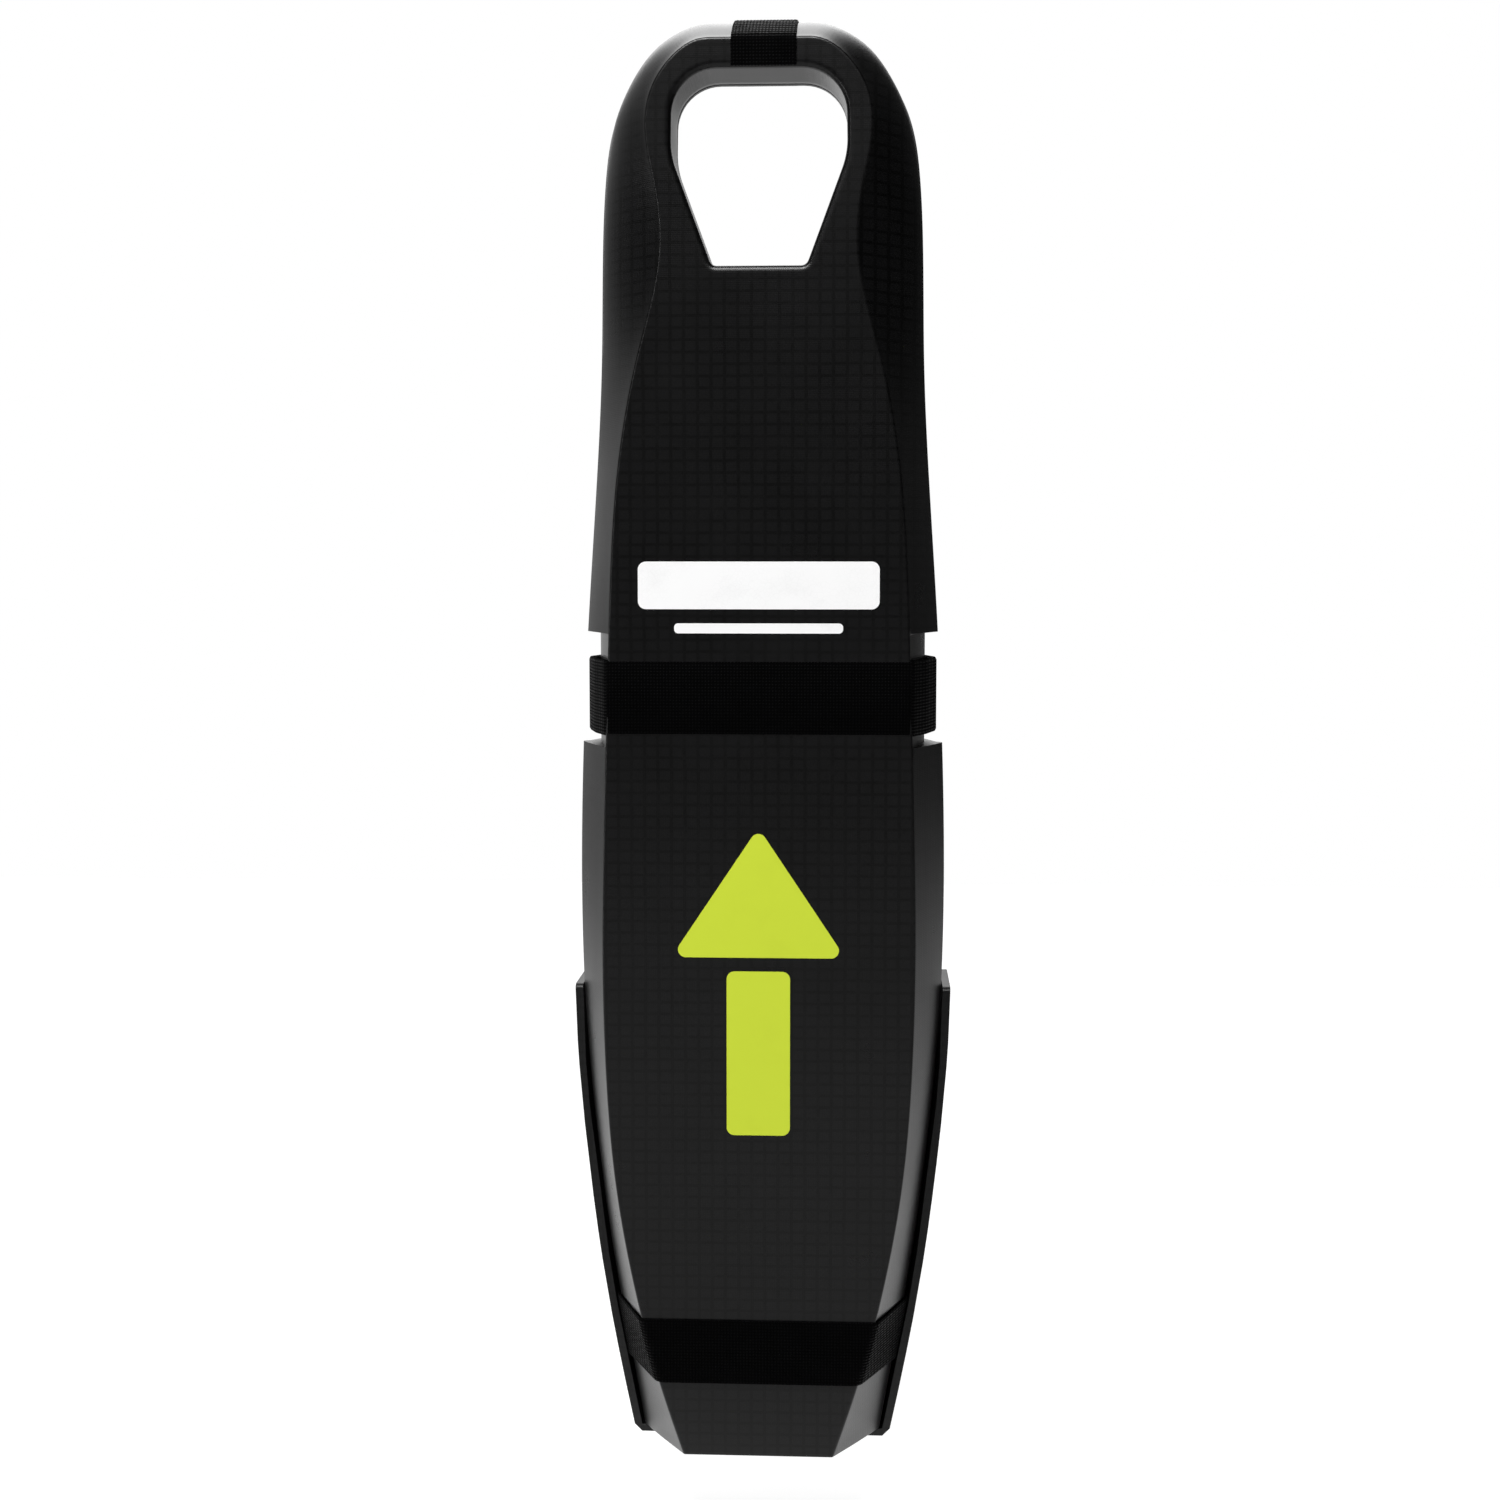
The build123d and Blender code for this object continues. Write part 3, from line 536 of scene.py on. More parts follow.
def front_outside(steps):
    """Rings from the flat face over the rolled crease and along the swelling side to the rim."""
    def face_ring(grow=0.0):
        return section(FACE, steps, -FRONT_DEPTH, grow, notch=NOTCH_X)

    outer, rim = face_ring(), section(PARTING, steps, 0, notch=NOTCH_X)
    side = unit_rows(rim - outer)
    rings = [face_ring(-ROLL - 0.6)] + bezier(face_ring(-ROLL), outer, outer + side * ROLL, 7)
    first, last = rings[-1], rim - side * 0.8
    amount = np.concatenate(ring_values(bulge_of(steps)))
    right, left = ring_values(half_points(FACE, steps)[1])
    out = np.zeros_like(outer)
    out[:, 0] = np.concatenate([right[:, 0], -left[:, 0]])
    out[:, 2] = np.concatenate([right[:, 1], left[:, 1]])
    for u in np.linspace(0, 1, 19)[1:]:
        bulge = out * (amount * swell(u))[:, None]
        rings.append(clamp_notch(first + (last - first) * u + bulge, steps))
    return rings + [section(PARTING, steps, -PARTING_GAP, -0.5, notch=NOTCH_X)]


def front_inside(steps):
    """Rings from the rim's inner edge up the wall and round onto the inside of the face."""
    ring = dict(notch=NOTCH_X - WALL, floor=BOTTOM_WALL)
    ceiling = WALL - FRONT_DEPTH
    rim = section(grow_knots(PARTING, -WALL - 0.6), steps, -PARTING_GAP, **ring)
    edge = section(grow_knots(FACE, -WALL - 1.0), steps, ceiling, **ring)
    flat = section(grow_knots(FACE, -WALL - 3.4), steps, ceiling, **ring)
    rings = [rim + (edge - rim) * u for u in np.linspace(0, 0.92, 8)]
    return rings + bezier(edge + unit_rows(rim - edge) * 3, edge, flat, 5)


def handle_tube():
    """Rings of the handle opening's wall, from the rim to its rounded edge on the face."""
    face = -FRONT_DEPTH
    rings = [hole_ring(0.9, -PARTING_GAP), hole_ring(0.3, -0.5), hole_ring(0, -1.4)]
    rings += [hole_ring(0, y) for y in np.linspace(-6, face + 3.8, 7)]
    rings += bezier(hole_ring(0, face + 3.4), hole_ring(0, face), hole_ring(3.6, face), 9)
    return rings + [hole_ring(4.4, face)]


def make_front_shell():
    """Front cover with a crisp rolled crease, rounded handle rim and open back."""
    steps = knot_steps(PARTING, SHELL_SPACING)
    rings = front_outside(steps) + front_inside(steps)
    tube = handle_tube()
    back_tube = [hole_ring(WALL, -PARTING_GAP), hole_ring(WALL, WALL - FRONT_DEPTH)]
    build = Build()
    build.strip(rings)
    build.strip(tube)
    build.strip([tube[0]] + back_tube)
    build.patch(rings[0], [tube[-1]])
    build.patch(rings[-1], [back_tube[-1]])
    knuckle_barrels(build, FRONT_KNUCKLES)
    build.finish("case_front_cover", SHELL, "front_cover", "case_shell", ["front_shell"])


def clamp_notch(ring, steps):
    """Keep a ring inside the notch's wall between its two edges."""
    inside = np.concatenate(ring_values(in_notch(steps)))
    ring[inside, 0] = np.clip(ring[inside, 0], -NOTCH_X, NOTCH_X)
    return ring


def knuckle_barrels(build, spans):
    """Hinge barrels on the bottom axis, with softly chamfered ends."""
    turns = [2 * math.pi * k / 24 for k in range(24)]
    for low, high in spans:
        profile = [(low, 1.3), (low, HINGE_R - 0.4), (low + 0.4, HINGE_R), (high - 0.4, HINGE_R),
                   (high, HINGE_R - 0.4), (high, 1.3), (low, 1.3)]
        build.strip([[(x, r * math.cos(a), r * math.sin(a)) for a in turns] for x, r in profile])


def rear_rim(steps):
    """Rings of the rear shell's outer edge, rounded at the back."""
    def ring(y, grow=0.0):
        return section(PARTING, steps, y, grow, notch=NOTCH_X)

    rim = [ring(PARTING_GAP, -0.7), ring(PARTING_GAP + 0.2, -0.2), ring(0.9)]
    return rim + bezier(ring(RIM_DEPTH - 1.0, -1.2), ring(RIM_DEPTH, -1.6), ring(RIM_DEPTH, -2.6), 5)


def rear_tube():
    """Rings of the handle opening's wall in the rear shell."""
    rings = [hole_ring(0.6, PARTING_GAP), hole_ring(0, 0.6), hole_ring(0, RIM_DEPTH - 1.2)]
    rounded = (hole_ring(0, RIM_DEPTH - 1.0), hole_ring(0, RIM_DEPTH), hole_ring(1.2, RIM_DEPTH))
    return rings + bezier(*rounded, 5)


def rear_body(steps, body, back):
    """Rings from the body's root on the rim to the flat of its back."""
    notch = NOTCH_X - 0.35
    root = section(body, steps, RIM_DEPTH, 0.7, notch=notch)
    foot = section(body, steps, RIM_DEPTH, notch=notch)
    end = section(back, steps, BACK_DEPTH, notch=notch)
    flat = section(back, steps, BACK_DEPTH, -5, notch=notch)
    side = unit_rows(end - foot)
    rings = bezier(root, foot, foot + side * 1.2, 4)
    start, stop = rings[-1], end - side * 5
    rings += [clamp_notch(start + (stop - start) * u, steps) for u in np.linspace(0, 1, 14)[1:-1]]
    return rings + bezier(stop, end, flat, 8)


def rear_hollow(steps):
    """Rings of the hollow, from its mouth on the parting plane to the flat inside the back."""
    front = body_knots(BODY_TOP, BODY_INSET, WALL)
    back = body_knots(BACK_TOP, BACK_INSET, WALL)
    ring = dict(notch=NOTCH_X - WALL, floor=BOTTOM_WALL)
    mouth = section(front, steps, PARTING_GAP, **ring)
    bottom = section(back, steps, BACK_DEPTH - WALL, **ring)
    flat = section(back, steps, BACK_DEPTH - WALL, -3, **ring)
    rings = [mouth + (bottom - mouth) * u for u in np.linspace(0, 0.93, 12)]
    return rings + bezier(rings[-1], bottom, flat, 5)


def make_rear_shell():
    """Rear shell: rim with the handle's back, deep body with water slots, open front."""
    rim, tube = rear_rim(knot_steps(PARTING, SHELL_SPACING)), rear_tube()
    body = body_knots(BODY_TOP, BODY_INSET)
    steps = knot_steps(body, 5.0)
    rings = rear_body(steps, body, body_knots(BACK_TOP, BACK_INSET))
    hollow = rear_hollow(steps)
    build = Build()
    for strip in (rim, tube, rings, hollow):
        build.strip(strip)
    slots = [(x, 470 + 14 * row) for row in range(4) for x in (-26, 26)]
    outer_slots = [slot_ring(x, z, 35.4, 6.4, BACK_DEPTH) for x, z in slots]
    inner_slots = [slot_ring(x, z, 34, 5, BACK_DEPTH - WALL) for x, z in slots]
    for (x, z), outer_slot, inner_slot in zip(slots, outer_slots, inner_slots):
        build.strip([outer_slot, slot_ring(x, z, 34, 5, BACK_DEPTH - 0.7), inner_slot])
    build.patch(rim[-1], [tube[-1], rings[0]])
    build.patch(rings[-1], outer_slots)
    build.patch(hollow[-1], inner_slots)
    build.patch(rim[0], [tube[0], hollow[0]])
    knuckle_barrels(build, REAR_KNUCKLES)
    build.finish("case_rear_shell", SHELL, "case", "case_shell", ["rear_shell"])


def body_knots(top, inset, deeper=0.0):
    """Half outline of the rear body, as the CAD builds it."""
    knots = grow_knots(PARTING[:BODY_KNOTS + 1], -inset)[:BODY_KNOTS] + top
    return grow_knots(knots, -deeper) if deeper else knots


make_front_shell()
make_rear_shell()


# ---- webbing ----
def round_path(points, radius, step):
    """Even points along a polyline with its corners rounded."""
    points = [np.array(p, float) for p in points]
    dense = [points[0]]
    for before, here, after in zip(points, points[1:], points[2:]):
        a, b = before - here, after - here
        cut = min(radius, np.linalg.norm(a) * 0.45, np.linalg.norm(b) * 0.45)
        a, b = here + a / np.linalg.norm(a) * cut, here + b / np.linalg.norm(b) * cut
        for u in np.linspace(0, 1, 10):
            dense.append((1 - u) ** 2 * a + 2 * u * (1 - u) * here + u * u * b)
    dense.append(points[-1])
    dense = np.array(dense)
    length = np.concatenate([[0], np.cumsum(np.linalg.norm(np.diff(dense, axis=0), axis=1))])
    count = max(4, int(length[-1] / step))
    s = np.linspace(0, length[-1], count)
    return np.stack([np.interp(s, length, dense[:, k]) for k in range(3)], axis=1), s


def skin(name, grid, out, s, v, body, replaced, thickness=WEBBING, material=None, slot="webbing",
         pitch=1.68, height=0.17):
    """Woven band laid on the inner face grid[i][j], with ribs, yarn beats and round selvedges."""
    width = v[-1] - v[0]
    edge = np.clip((width / 2 - np.abs(v)) / SELVEDGE, 0, 1)
    roll = np.sqrt(1 - (1 - edge) ** 2)[None, :]
    ribs = np.abs(np.sin(math.pi * v / pitch))[None, :]
    phase = math.pi * np.round(v / pitch)[None, :]
    beat = 0.5 + 0.5 * np.sin(2 * math.pi * s[:, None] / (1.25 * pitch) + phase)
    relief = height * ribs * (0.3 + 0.7 * beat) * edge[None, :]
    lift = (thickness - height) * (0.45 + 0.55 * roll) + relief
    build = Build()
    top = [build.add(row) for row in grid + out * lift[:, :, None]]
    inset = int(np.searchsorted(v, v[0] + SELVEDGE))
    columns = [0, inset, len(v) - 1 - inset, len(v) - 1]
    drop = np.array([0.45, 0, 0, 0.45]) * (thickness - height)
    low = [build.add(row) for row in grid[:, columns] + out[:, columns] * drop[None, :, None]]
    for a, b in zip(top, top[1:]):
        build.faces += [(a[i], b[i], b[i + 1], a[i + 1]) for i in range(len(a) - 1)]
    for a, b in zip(low, low[1:]):
        build.faces += [(a[i + 1], b[i + 1], b[i], a[i]) for i in range(3)]
    build.faces.append((*top[0], low[0][2], low[0][1]))
    build.faces.append((*top[-1][::-1], low[-1][1], low[-1][2]))
    return build.finish(name, material or TAPE, body, slot, replaced, 60)


def tape(name, path, across, width, body, replaced, step=0.5, radius=3.0, **finish):
    """Band of even width whose inner face follows a path; its outside is to the path's right."""
    line, s = round_path(path, radius, step)
    tangent = np.gradient(line, axis=0)
    across = np.array(across, float)
    out = np.cross(tangent, across)
    out /= np.linalg.norm(out, axis=1)[:, None]
    v = np.linspace(-0.5, 0.5, int(width / 0.42)) * width
    grid = line[:, None, :] + across * v[None, :, None]
    return skin(name, grid, np.repeat(out[:, None, :], len(v), axis=1), s, v, body, replaced, **finish)


def width_at(knots, z):
    """Half width of a half outline at the heights z."""
    dense = natural_cubic(knots)(np.linspace(0, len(knots) - 1, 400))
    return np.interp(z, dense[:, 1], dense[:, 0])


def lower_belt(name, y_edge, y_flat, flat_knots, body, replaced):
    """Belt pulled tight round one shell: side, corner, flat, corner, side at every height."""
    v = np.linspace(LOWER_BELT_Z[0], LOWER_BELT_Z[1], 79)
    rows = []
    for z, edge, flat in zip(v, width_at(PARTING, v), width_at(flat_knots, v)):
        y = y_flat + math.copysign(BELT_GAP, y_flat)
        half = [(edge + BELT_GAP, y_edge, z), (flat + BELT_GAP, y, z)]
        line, s = round_path(half + [(-x, y, z) for x, y, z in reversed(half)], 3.2, 0.5)
        u = np.linspace(0, s[-1], 460)
        rows.append(np.stack([np.interp(u, s, line[:, k]) for k in range(3)], axis=1))
    grid = np.stack(rows, axis=1)
    along = np.gradient(grid, axis=0)
    out = np.cross((0, 0, 1), along)
    out /= np.linalg.norm(out, axis=2)[:, :, None]
    if (out[len(out) // 2, 0, 1] > 0) != (y_flat > 0):
        out = -out
    middle = grid[:, len(v) // 2]
    s = np.concatenate([[0], np.cumsum(np.linalg.norm(np.diff(middle, axis=0), axis=1))])
    skin(name, grid, out, s, v - v.mean(), body, replaced)


def make_straps():
    """Handle strap, centre belt and lower belt, each in a front and a rear half."""
    top = 726.3
    x = STRAP_X
    end = HOLE_TOP + 0.5
    back = RIM_DEPTH + 0.15
    crease, rim = FACE[-1][1], PARTING[-1][1]
    path = [(x, -BELT_END, top)]
    for u in np.linspace(0.92, 0.05, 9):
        z = crease + (rim - crease) * u + swell(u) * bulge_of(np.array([len(FACE) - 1.0]))[0] + 0.1
        path.append((x, -FRONT_DEPTH * (1 - u), z))
    path += [(x, -FRONT_DEPTH - 0.15, crease - 1.2), (x, -FRONT_DEPTH - 0.15, end)]
    tape("strap_over_handle", path, (1, 0, 0), 32, "front_cover", ["handle_strap_front"], radius=1.2)
    tape("strap_behind_handle", [(x, back, end), (x, back, 724.6), (x, BELT_END, top)],
         (1, 0, 0), 32, "case", ["handle_strap_rear"])
    z = sum(CENTRE_BELT_Z) / 2
    front = [(89.5, -BELT_END), (84.5, -21), (76.9, -40.2)]
    path = [(x, y, z) for x, y in front] + [(-x, y, z) for x, y in reversed(front)]
    tape("belt_centre_front", path, (0, 0, 1), 38, "front_cover", ["centre_belt_front"])
    rear = [(80.3, 46.2), (89.4, 6), (89.6, BELT_END)]
    path = [(-x, y, z) for x, y in reversed(rear)] + [(x, y, z) for x, y in rear]
    tape("belt_centre_rear", path, (0, 0, 1), 38, "case", ["centre_belt_rear"])
    lower_belt("belt_lower_front", -BELT_END, -FRONT_DEPTH, FACE, "front_cover", ["lower_belt_front"])
    back_knots = grow_knots(PARTING[:BODY_KNOTS + 1], -BACK_INSET)[:BODY_KNOTS]
    lower_belt("belt_lower_rear", BELT_END, BACK_DEPTH, back_knots, "case", ["lower_belt_rear"])


make_straps()


def stitches(name, path, body, pitch=2.6, thickness=0.5):
    """Row of thread stitches: short raised capsules along a path on a strap's outer face."""
    build = Build()
    across = np.array((0.0, 1.0, 0.0))
    for a, b in zip(path, path[1:]):
        a, b = np.array(a, float), np.array(b, float)
        length = np.linalg.norm(b - a)
        along = (b - a) / length
        side = np.cross(along, across)
        for k in range(max(1, int(length / pitch))):
            start = a + along * (k + 0.15) * pitch
            rings = []
            for u, r in ((0, 0.05), (0.12, 0.8), (0.5, 1.0), (0.88, 0.8), (1, 0.05)):
                centre = start + along * u * pitch * 0.72
                rings.append([centre + thickness / 2 * r * (math.cos(t) * side + math.sin(t) * across)
                              for t in np.linspace(0, 2 * math.pi, 7)[:-1]])
            build.strip(rings, capped=True)
    build.finish(name, THREAD, body, "webbing", [], 80)


def make_patch():
    """Hook-and-loop end at the back of the centre belt: pile, selvedge and box stitching."""
    z = sum(CENTRE_BELT_Z) / 2
    y = BACK_DEPTH + BELT_GAP + WEBBING
    tape("belt_patch", [(-38, y, z), (46, y, z)], (0, 0, 1), 36, "case", ["centre_belt_patch"],
         thickness=2.1, material=PILE, slot="hook_and_loop", pitch=1.1, height=0.35)
    y += 2.0
    box = [(-35.5, y, z - 15.5), (-35.5, y, z + 15.5), (-14, y, z + 15.5), (-14, y, z - 15.5)]
    stitches("belt_patch_stitches", box + [box[0], box[2]], "case")


make_patch()


# ---- packed soft goods ----
def smooth_noise(points, size, seed):
    """Soft random field at points, with features of about the given size (mm)."""
    rng = np.random.RandomState(seed)
    value = np.zeros(len(points))
    for _ in range(10):
        wave = rng.normal(size=3)
        wave *= 2 * math.pi / size * rng.uniform(0.6, 1.5) / np.linalg.norm(wave)
        value += np.sin(points @ wave + rng.uniform(0, 2 * math.pi))
    return value / 10 ** 0.5


def soft_block(name, low, high, radius, voxel, seed):
    """Closed rounded block in the case's frame, evenly remeshed."""
    mesh = bpy.data.meshes.new(name)
    shape = bmesh.new()
    bmesh.ops.create_cube(shape, size=1)
    low, high = Vector(low) * MM, Vector(high) * MM
    for vert in shape.verts:
        vert.co = CASE_ORIGIN + Vector([(a + b) / 2 + c * (b - a)
                                        for a, b, c in zip(low, high, vert.co)])
    bmesh.ops.bevel(shape, geom=shape.edges[:], offset=radius * MM, segments=5, profile=0.5,
                    affect="EDGES")
    shape.to_mesh(mesh)
    shape.free()
    piece = new_object(name, mesh)
    remesh = piece.modifiers.new("even", "REMESH")
    remesh.mode = "VOXEL"
    remesh.voxel_size = voxel * MM
    bake(piece)
    rest = read_points(piece)
    wobble = smooth_noise(rest / MM, 22, seed)
    write_points(piece, rest + normals(piece) * (wobble * 0.5 * MM)[:, None])
    return piece


def bake(piece):
    """Apply all the modifiers of a piece to its mesh."""
    graph = bpy.context.evaluated_depsgraph_get()
    mesh = bpy.data.meshes.new_from_object(piece.evaluated_get(graph))
    piece.modifiers.clear()
    piece.data = mesh


def read_points(piece):
    points = np.empty(len(piece.data.vertices) * 3)
    piece.data.vertices.foreach_get("co", points)
    return points.reshape(-1, 3)


def write_points(piece, points):
    piece.data.vertices.foreach_set("co", points.ravel())
    piece.data.update()


def normals(piece):
    found = np.empty(len(piece.data.vertices) * 3)
    piece.data.vertices.foreach_get("normal", found)
    return found.reshape(-1, 3)


def inflate(piece, cap, bands=(), pressure=4.0):
    """Blow the block up as cloth, held at its bands, and cap how far each point moves (mm)."""
    rest = read_points(piece)
    height = (rest[:, 2] - CASE_ORIGIN.z) / MM
    held = piece.vertex_groups.new(name="held")
    fixed = [i for i, z in enumerate(height) if any(a <= z <= b for a, b in bands)]
    held.add(fixed, 1.0, "REPLACE")
    cloth = piece.modifiers.new("cloth", "CLOTH")
    cloth.settings.quality = 5
    cloth.settings.mass = 0.15
    cloth.settings.tension_stiffness = 12
    cloth.settings.bending_stiffness = 0.4
    cloth.settings.shrink_min = -0.1
    cloth.settings.use_pressure = True
    cloth.settings.uniform_pressure_force = pressure
    cloth.settings.effector_weights.gravity = 0
    if fixed:
        cloth.settings.vertex_group_mass = "held"
    for step in range(1, 21):
        bpy.context.scene.frame_set(step)
    bake(piece)
    bpy.context.scene.frame_set(1)
    moved = read_points(piece) - rest
    length = np.linalg.norm(moved, axis=1)
    scale = cap * MM * np.tanh(length / (cap * MM)) / np.maximum(length, 1e-9)
    write_points(piece, rest + moved * scale[:, None])


def subdivide(piece, levels):
    smooth = piece.modifiers.new("smooth", "SUBSURF")
    smooth.levels = levels
    smooth.render_levels = levels
    bake(piece)


def keep_inside(piece, node):
    """Keep a soft piece inside its CAD solid's box."""
    low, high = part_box(node)
    write_points(piece, np.clip(read_points(piece), np.array(low), np.array(high)))


def soft_pack(name, node, low, high, radius, inset, cap, relief, material, bands=(), seed=1):
    """Soft pack in its CAD solid's place: inflated, subdivided, then creased by relief(points)."""
    low = [v + inset for v in low]
    high = [v - inset for v in high]
    piece = soft_block(name, low, high, radius, 4.5, seed)
    inflate(piece, cap, bands)
    subdivide(piece, 2)
    points = read_points(piece)
    local = (points - np.array(CASE_ORIGIN)) / MM
    write_points(piece, points + normals(piece) * (relief(local) * MM)[:, None])
    keep_inside(piece, node)
    hand_over(piece, material, "case", [node], 80)


def mast_relief(p):
    """Concertina folds stacked up the mast, flattened and pinched under the bands."""
    z = p[:, 2] + 2.2 * np.sin(p[:, 0] / 17 + p[:, 1] / 23) + 1.2 * smooth_noise(p, 45, 7)
    folds = np.abs(np.sin(math.pi * z / 15.5)) ** 0.55
    squeeze = sum(np.exp(-((p[:, 2] - (a + b) / 2) / 17) ** 4) for a, b in BANDS)
    pinch = sum(np.exp(-((p[:, 2] - (a + b) / 2) / 22) ** 2) for a, b in BANDS)
    wrinkles = 0.5 * smooth_noise(p, 12, 8) + 0.25 * smooth_noise(p, 6, 9)
    return (4.2 * (folds - 1) + wrinkles) * (1 - 0.65 * np.clip(squeeze, 0, 1)) - 1.2 * pinch


def flag_relief(p):
    """Rolled cloth: slack spiral edges along the roll and tight turns showing at the ends."""
    depth, height = p[:, 1] - FLAG_AXIS[0], p[:, 2] - FLAG_AXIS[1]
    turn = np.arctan2(height, depth)
    edge = np.exp(-((turn - 0.9 - 0.1 * np.sin(p[:, 0] / 9)) / 0.09) ** 2)
    radius = np.hypot(height, depth)
    ends = np.clip((np.abs(p[:, 0]) - 42) / 2, 0, 1)
    spiral = np.sin((radius / 3.4 - turn / (2 * math.pi)) * 2 * math.pi)
    wrinkles = 0.5 * smooth_noise(p * (0.35, 1, 1), 9, 4)
    return -1.6 * edge * (1 - ends) + 0.9 * spiral * ends + wrinkles * (1 - ends) - 0.6


def drogue_relief(p):
    """Folded drogue: three slack layers of cloth with creases across."""
    layers = np.abs(np.sin(math.pi * (p[:, 1] + 1.5 * np.sin(p[:, 0] / 14)) / 14)) ** 0.6
    return 2.6 * (layers - 1) + 0.8 * smooth_noise(p, 16, 5) + 0.35 * smooth_noise(p, 7, 6)


def make_packs():
    """Folded mast, rolled flag, folded drogue and the tether's hank."""
    soft_pack("mast_folded", "folded_mast", MAST_LOW, MAST_HIGH, 11, 3.5, 7, mast_relief, BLADDER,
              [(a - 4, b + 4) for a, b in BANDS], 1)
    soft_pack("flag_rolled", "folded_flag", (-46, -6, 516), (46, 30, 552), 15.5, 1.2, 3, flag_relief,
              FLAG, (), 2)
    soft_pack("drogue_folded", "drogue_pack", (-50, -20, 60), (50, 38, 112), 12, 2.5, 6, drogue_relief,
              DROGUE, (), 3)
    path = []
    for k in range(7):
        y = 8.6 + 3.8 * k
        ends = TETHER_Z if k % 2 == 0 else TETHER_Z[::-1]
        path += [(-49, y, ends[0] + (k % 3)), (-49, y, ends[1] - (k % 2) * 1.5)]
    tape("tether_folded", path, (1, 0, 0), 46, "case", ["tether_hank"], radius=1.6, thickness=1.6,
         material=TETHER, slot="tether_webbing", step=0.7)
    for number, (low, high) in enumerate(BANDS):
        elastic_band(f"mast_band_{number + 1}", (low + high) / 2, [] if number else ["pack_retainers"])


def elastic_band(name, z, replaced):
    """Ribbed elastic band round the folded mast, overlapped and sewn at the front."""
    (x0, y0, _), (x1, y1, _) = MAST_LOW, MAST_HIGH
    inset = 0.4
    corners = [(x0, y0), (x1, y0), (x1, y1), (x0, y1)]
    start = ((x0 + x1) / 2, y0 - inset, z)
    grown = [(x + math.copysign(inset, x - 20), y + math.copysign(inset, y)) for x, y in corners]
    path = [start] + [(x, y, z) for x, y in grown[1:]]
    path += [(*grown[0], z), (start[0] - 0.3, start[1], z)]
    tape(name, path[::-1], (0, 0, 1), 25, "case", replaced, radius=9.5, thickness=1.3, material=ELASTIC,
         slot="elastic", pitch=1.3, height=0.3)


make_packs()


# ---- mouldings and hardware with softened edges ----
def soften(node, width, material, body, segments=2):
    """The CAD node's own shape with its sharp edges rounded."""
    mesh = NODES[node].data.copy()
    shape = bmesh.new()
    shape.from_mesh(mesh)
    bmesh.ops.remove_doubles(shape, verts=shape.verts, dist=1e-6)
    bmesh.ops.dissolve_limit(shape, angle_limit=math.radians(1.5), verts=shape.verts, edges=shape.edges)
    sharp = [e for e in shape.edges if e.is_manifold and e.calc_face_angle(0) > math.radians(32)]
    bmesh.ops.bevel(shape, geom=sharp, offset=width * MM, segments=segments, profile=0.6,
                    affect="EDGES", clamp_overlap=True)
    shape.to_mesh(mesh)
    shape.free()
    piece = new_object(node + "_rounded", mesh)
    mesh.polygons.foreach_set("use_smooth", [True] * len(mesh.polygons))
    weighted = piece.modifiers.new("even_faces", "WEIGHTED_NORMAL")
    weighted.weight = 100
    bake(piece)
    paint(piece, material)
    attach(piece, body)
    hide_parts(node)


for place in ("lower", "upper"):
    soften(f"clamp_saddle_{place}", 0.9, CLAMP, "holster")
    soften(f"clamp_cap_{place}", 0.9, CLAMP, "holster")
soften("holster_tray", 0.9, TRAY, "holster")
soften("clamp_nuts", 0.35, STEEL, "holster")
soften("inflator_body", 0.5, INFLATOR, "case")
soften("inflator_lever", 0.5, LEVER, "firing_lever")
soften("lever_knob", 0.8, LEVER, "firing_lever", 3)
soften("light_bracket", 0.4, INFLATOR, "case")
soften("cylinder_band", 0.3, STRAPPING, "case")


def make_foam():
    """Two closed-cell foam strips with crowned faces on the back plate."""
    for side, name in ((-1, "left"), (1, "right")):
        x = sorted((side * 41.2, side * 58.8))
        piece = soft_block(f"foam_strip_{name}", (x[0], 48.5, 84.2), (x[1], 50.25, 231.8), 0.8, 1.2, 11)
        replaced = ["holster_pads"] if side < 0 else None
        hand_over(piece, FOAM, "holster", replaced, 80)


make_foam()


# ---- camera, light and floor ----
def make_camera():
    """Camera at the photograph's place: a little right of centre, eye level with the label."""
    camera = bpy.data.cameras.new("camera")
    camera.sensor_width = 36.0
    camera.lens = CAMERA_LENS
    holder = new_object("camera", camera)
    holder.location = CASE_ORIGIN + Vector(CAMERA_PLACE)
    holder.rotation_euler = (math.radians(90 - CAMERA_TILT), 0, math.radians(CAMERA_TURN))
    bpy.context.scene.camera = holder


def area_light(name, place, target, size, power):
    """Rectangular soft box aimed at a point."""
    light = bpy.data.lights.new(name, "AREA")
    light.shape = "RECTANGLE"
    light.size, light.size_y = size
    light.energy = power
    holder = new_object(name, light)
    holder.location = Vector(place)
    holder.rotation_euler = (Vector(target) - Vector(place)).to_track_quat("-Z", "Y").to_euler()
    holder.visible_camera = False


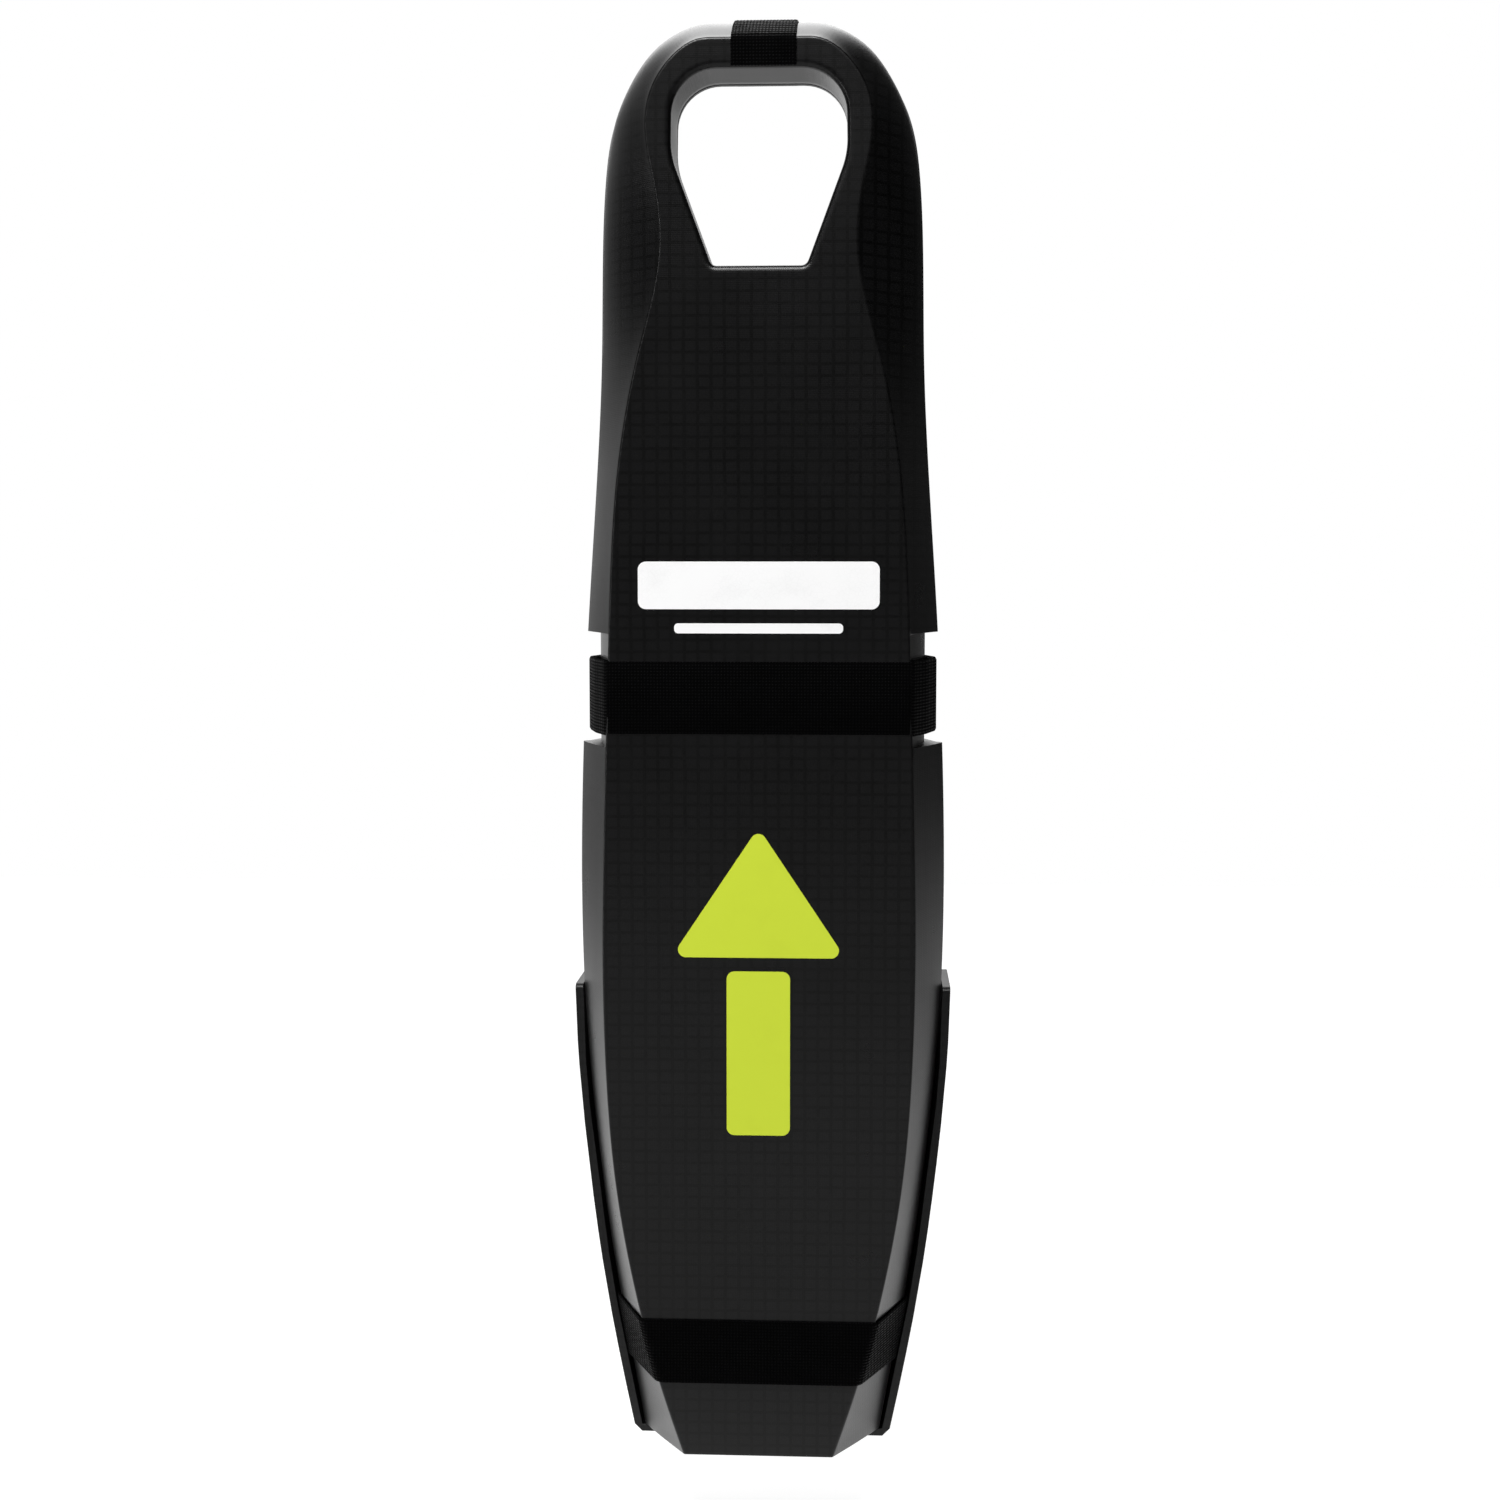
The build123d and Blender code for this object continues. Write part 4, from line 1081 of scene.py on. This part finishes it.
def make_stage():
    """Pale floor, and a surround that is bright behind the object and dark on the viewer's side."""
    floor_z = CASE_ORIGIN.z - FLOOR_DROP * MM
    mesh = bpy.data.meshes.new("floor")
    corners = ((-1, -1), (1, -1), (1, 1), (-1, 1))
    mesh.from_pydata([(x * FLOOR_HALF, y * FLOOR_HALF, floor_z) for x, y in corners], [], [(0, 1, 2, 3)])
    floor = new_object("floor", mesh)
    n = Nodes("pale_floor")
    tint = n.ramp(n.noise(3, 3), (0.4, 0.4, 0.4), (0.43, 0.43, 0.43))
    axes = n.make("ShaderNodeSeparateXYZ", {"Vector": n.coords()}).outputs
    near = n.span(axes["Y"], FLOOR_FRONT, FLOOR_UNDER, -0.35, -0.08)
    far = n.span(axes["Y"], 1.0, FLOOR_FAR, 0.25, 1.7)
    right = n.span(axes["X"], 1.0, FLOOR_RIGHT, 0.1, 0.35)
    shine = n.math("MULTIPLY", n.math("MULTIPLY", near, far), right)
    seen = n.make("ShaderNodeLightPath").outputs["Is Camera Ray"]
    mesh.materials.append(n.set(Base_Color=tint, Roughness=0.7, Specular_IOR_Level=0.1,
                                Emission_Color=WHITE, Emission_Strength=n.span(seen, shine, FLOOR_SEEN)))
    make_surround()


def make_surround():
    """White for the viewer; as light, bright behind, dim on the left, dark in front and right."""
    n = Nodes("surround", world=True)
    direction = n.make("ShaderNodeTexCoord").outputs["Generated"]
    axes = n.make("ShaderNodeSeparateXYZ", {"Vector": direction}).outputs

    def rise(axis, start, end, low, high):
        return n.span(axes[axis], low, high, start, end, interpolation_type="SMOOTHSTEP")

    def product(*factors):
        total = factors[0]
        for factor in factors[1:]:
            total = n.math("MULTIPLY", total, factor)
        return total

    level = product(rise("Y", 0.1, 0.8, SURROUND_FRONT, 1.0), rise("X", 0.02, 0.4, 1.0, SURROUND_RIGHT),
                    rise("X", -0.55, -0.25, SURROUND_LEFT, 1.0),
                    rise("Z", -0.25, 0.0, SURROUND_BELOW, 1.0))
    above = product(rise("Z", 0.28, 0.45, 0.0, SURROUND_ABOVE), rise("Y", 0.25, 0.45, 0.0, 1.0),
                    rise("X", -0.5, -0.2, 0.0, 1.0), rise("X", 0.05, 0.32, 1.0, 0.0))
    lit = n.make("ShaderNodeBackground", {"Color": WHITE, "Strength": n.math("ADD", level, above)})
    seen = n.make("ShaderNodeLightPath").outputs["Is Camera Ray"]
    mix = n.make("ShaderNodeMixShader", {0: seen, 1: lit.outputs[0], 2: n.shader.outputs[0]})
    n.put(n.tree.nodes["World Output"], "Surface", mix.outputs[0])
    bpy.context.scene.world = n.set(Color=WHITE)


def make_lights():
    """Soft box on the left, an overhead key towards the front and a narrow strip front left."""
    middle = CASE_ORIGIN + Vector((0, -0.02, 0.36))
    area_light("left_soft_box", middle + Vector((-1.6, 0.25, -0.35)), middle, (0.9, 0.9), 4)
    area_light("overhead_key", middle + Vector((-0.25, -1.2, 1.55)), middle, (1.0, 0.6), 42)
    area_light("front_left_strip", middle + Vector((-1.35, -1.15, 0.15)), middle, (0.14, 1.4), 4)


make_camera()
make_stage()
make_lights()
bpy.context.scene.view_settings.view_transform = "Standard"

SHADED = {
    FILM: ("reflective_label", "reflective_stripe"),
    HI_VIS: ("lift_arrow",),
    STEEL: ("hinge_pin", "lever_pivot", "piercing_pin", "clamp_bolts", "clamp_washers"),
    RUBBER: ("clamp_liner_lower", "clamp_liner_upper"),
    COATED: ("ballast_weight",),
    PLATED: ("gas_cylinder",),
    BRASS: ("inflator_stem", "stem_nut"),
    CAP: ("inflator_cap", "oral_tube_cap"),
    TUBE: ("oral_tube",),
    LAMP: ("light_body",),
    LENS: ("light_lens",),
}
for material, nodes in SHADED.items():
    for node in nodes:
        paint(NODES[node], material)
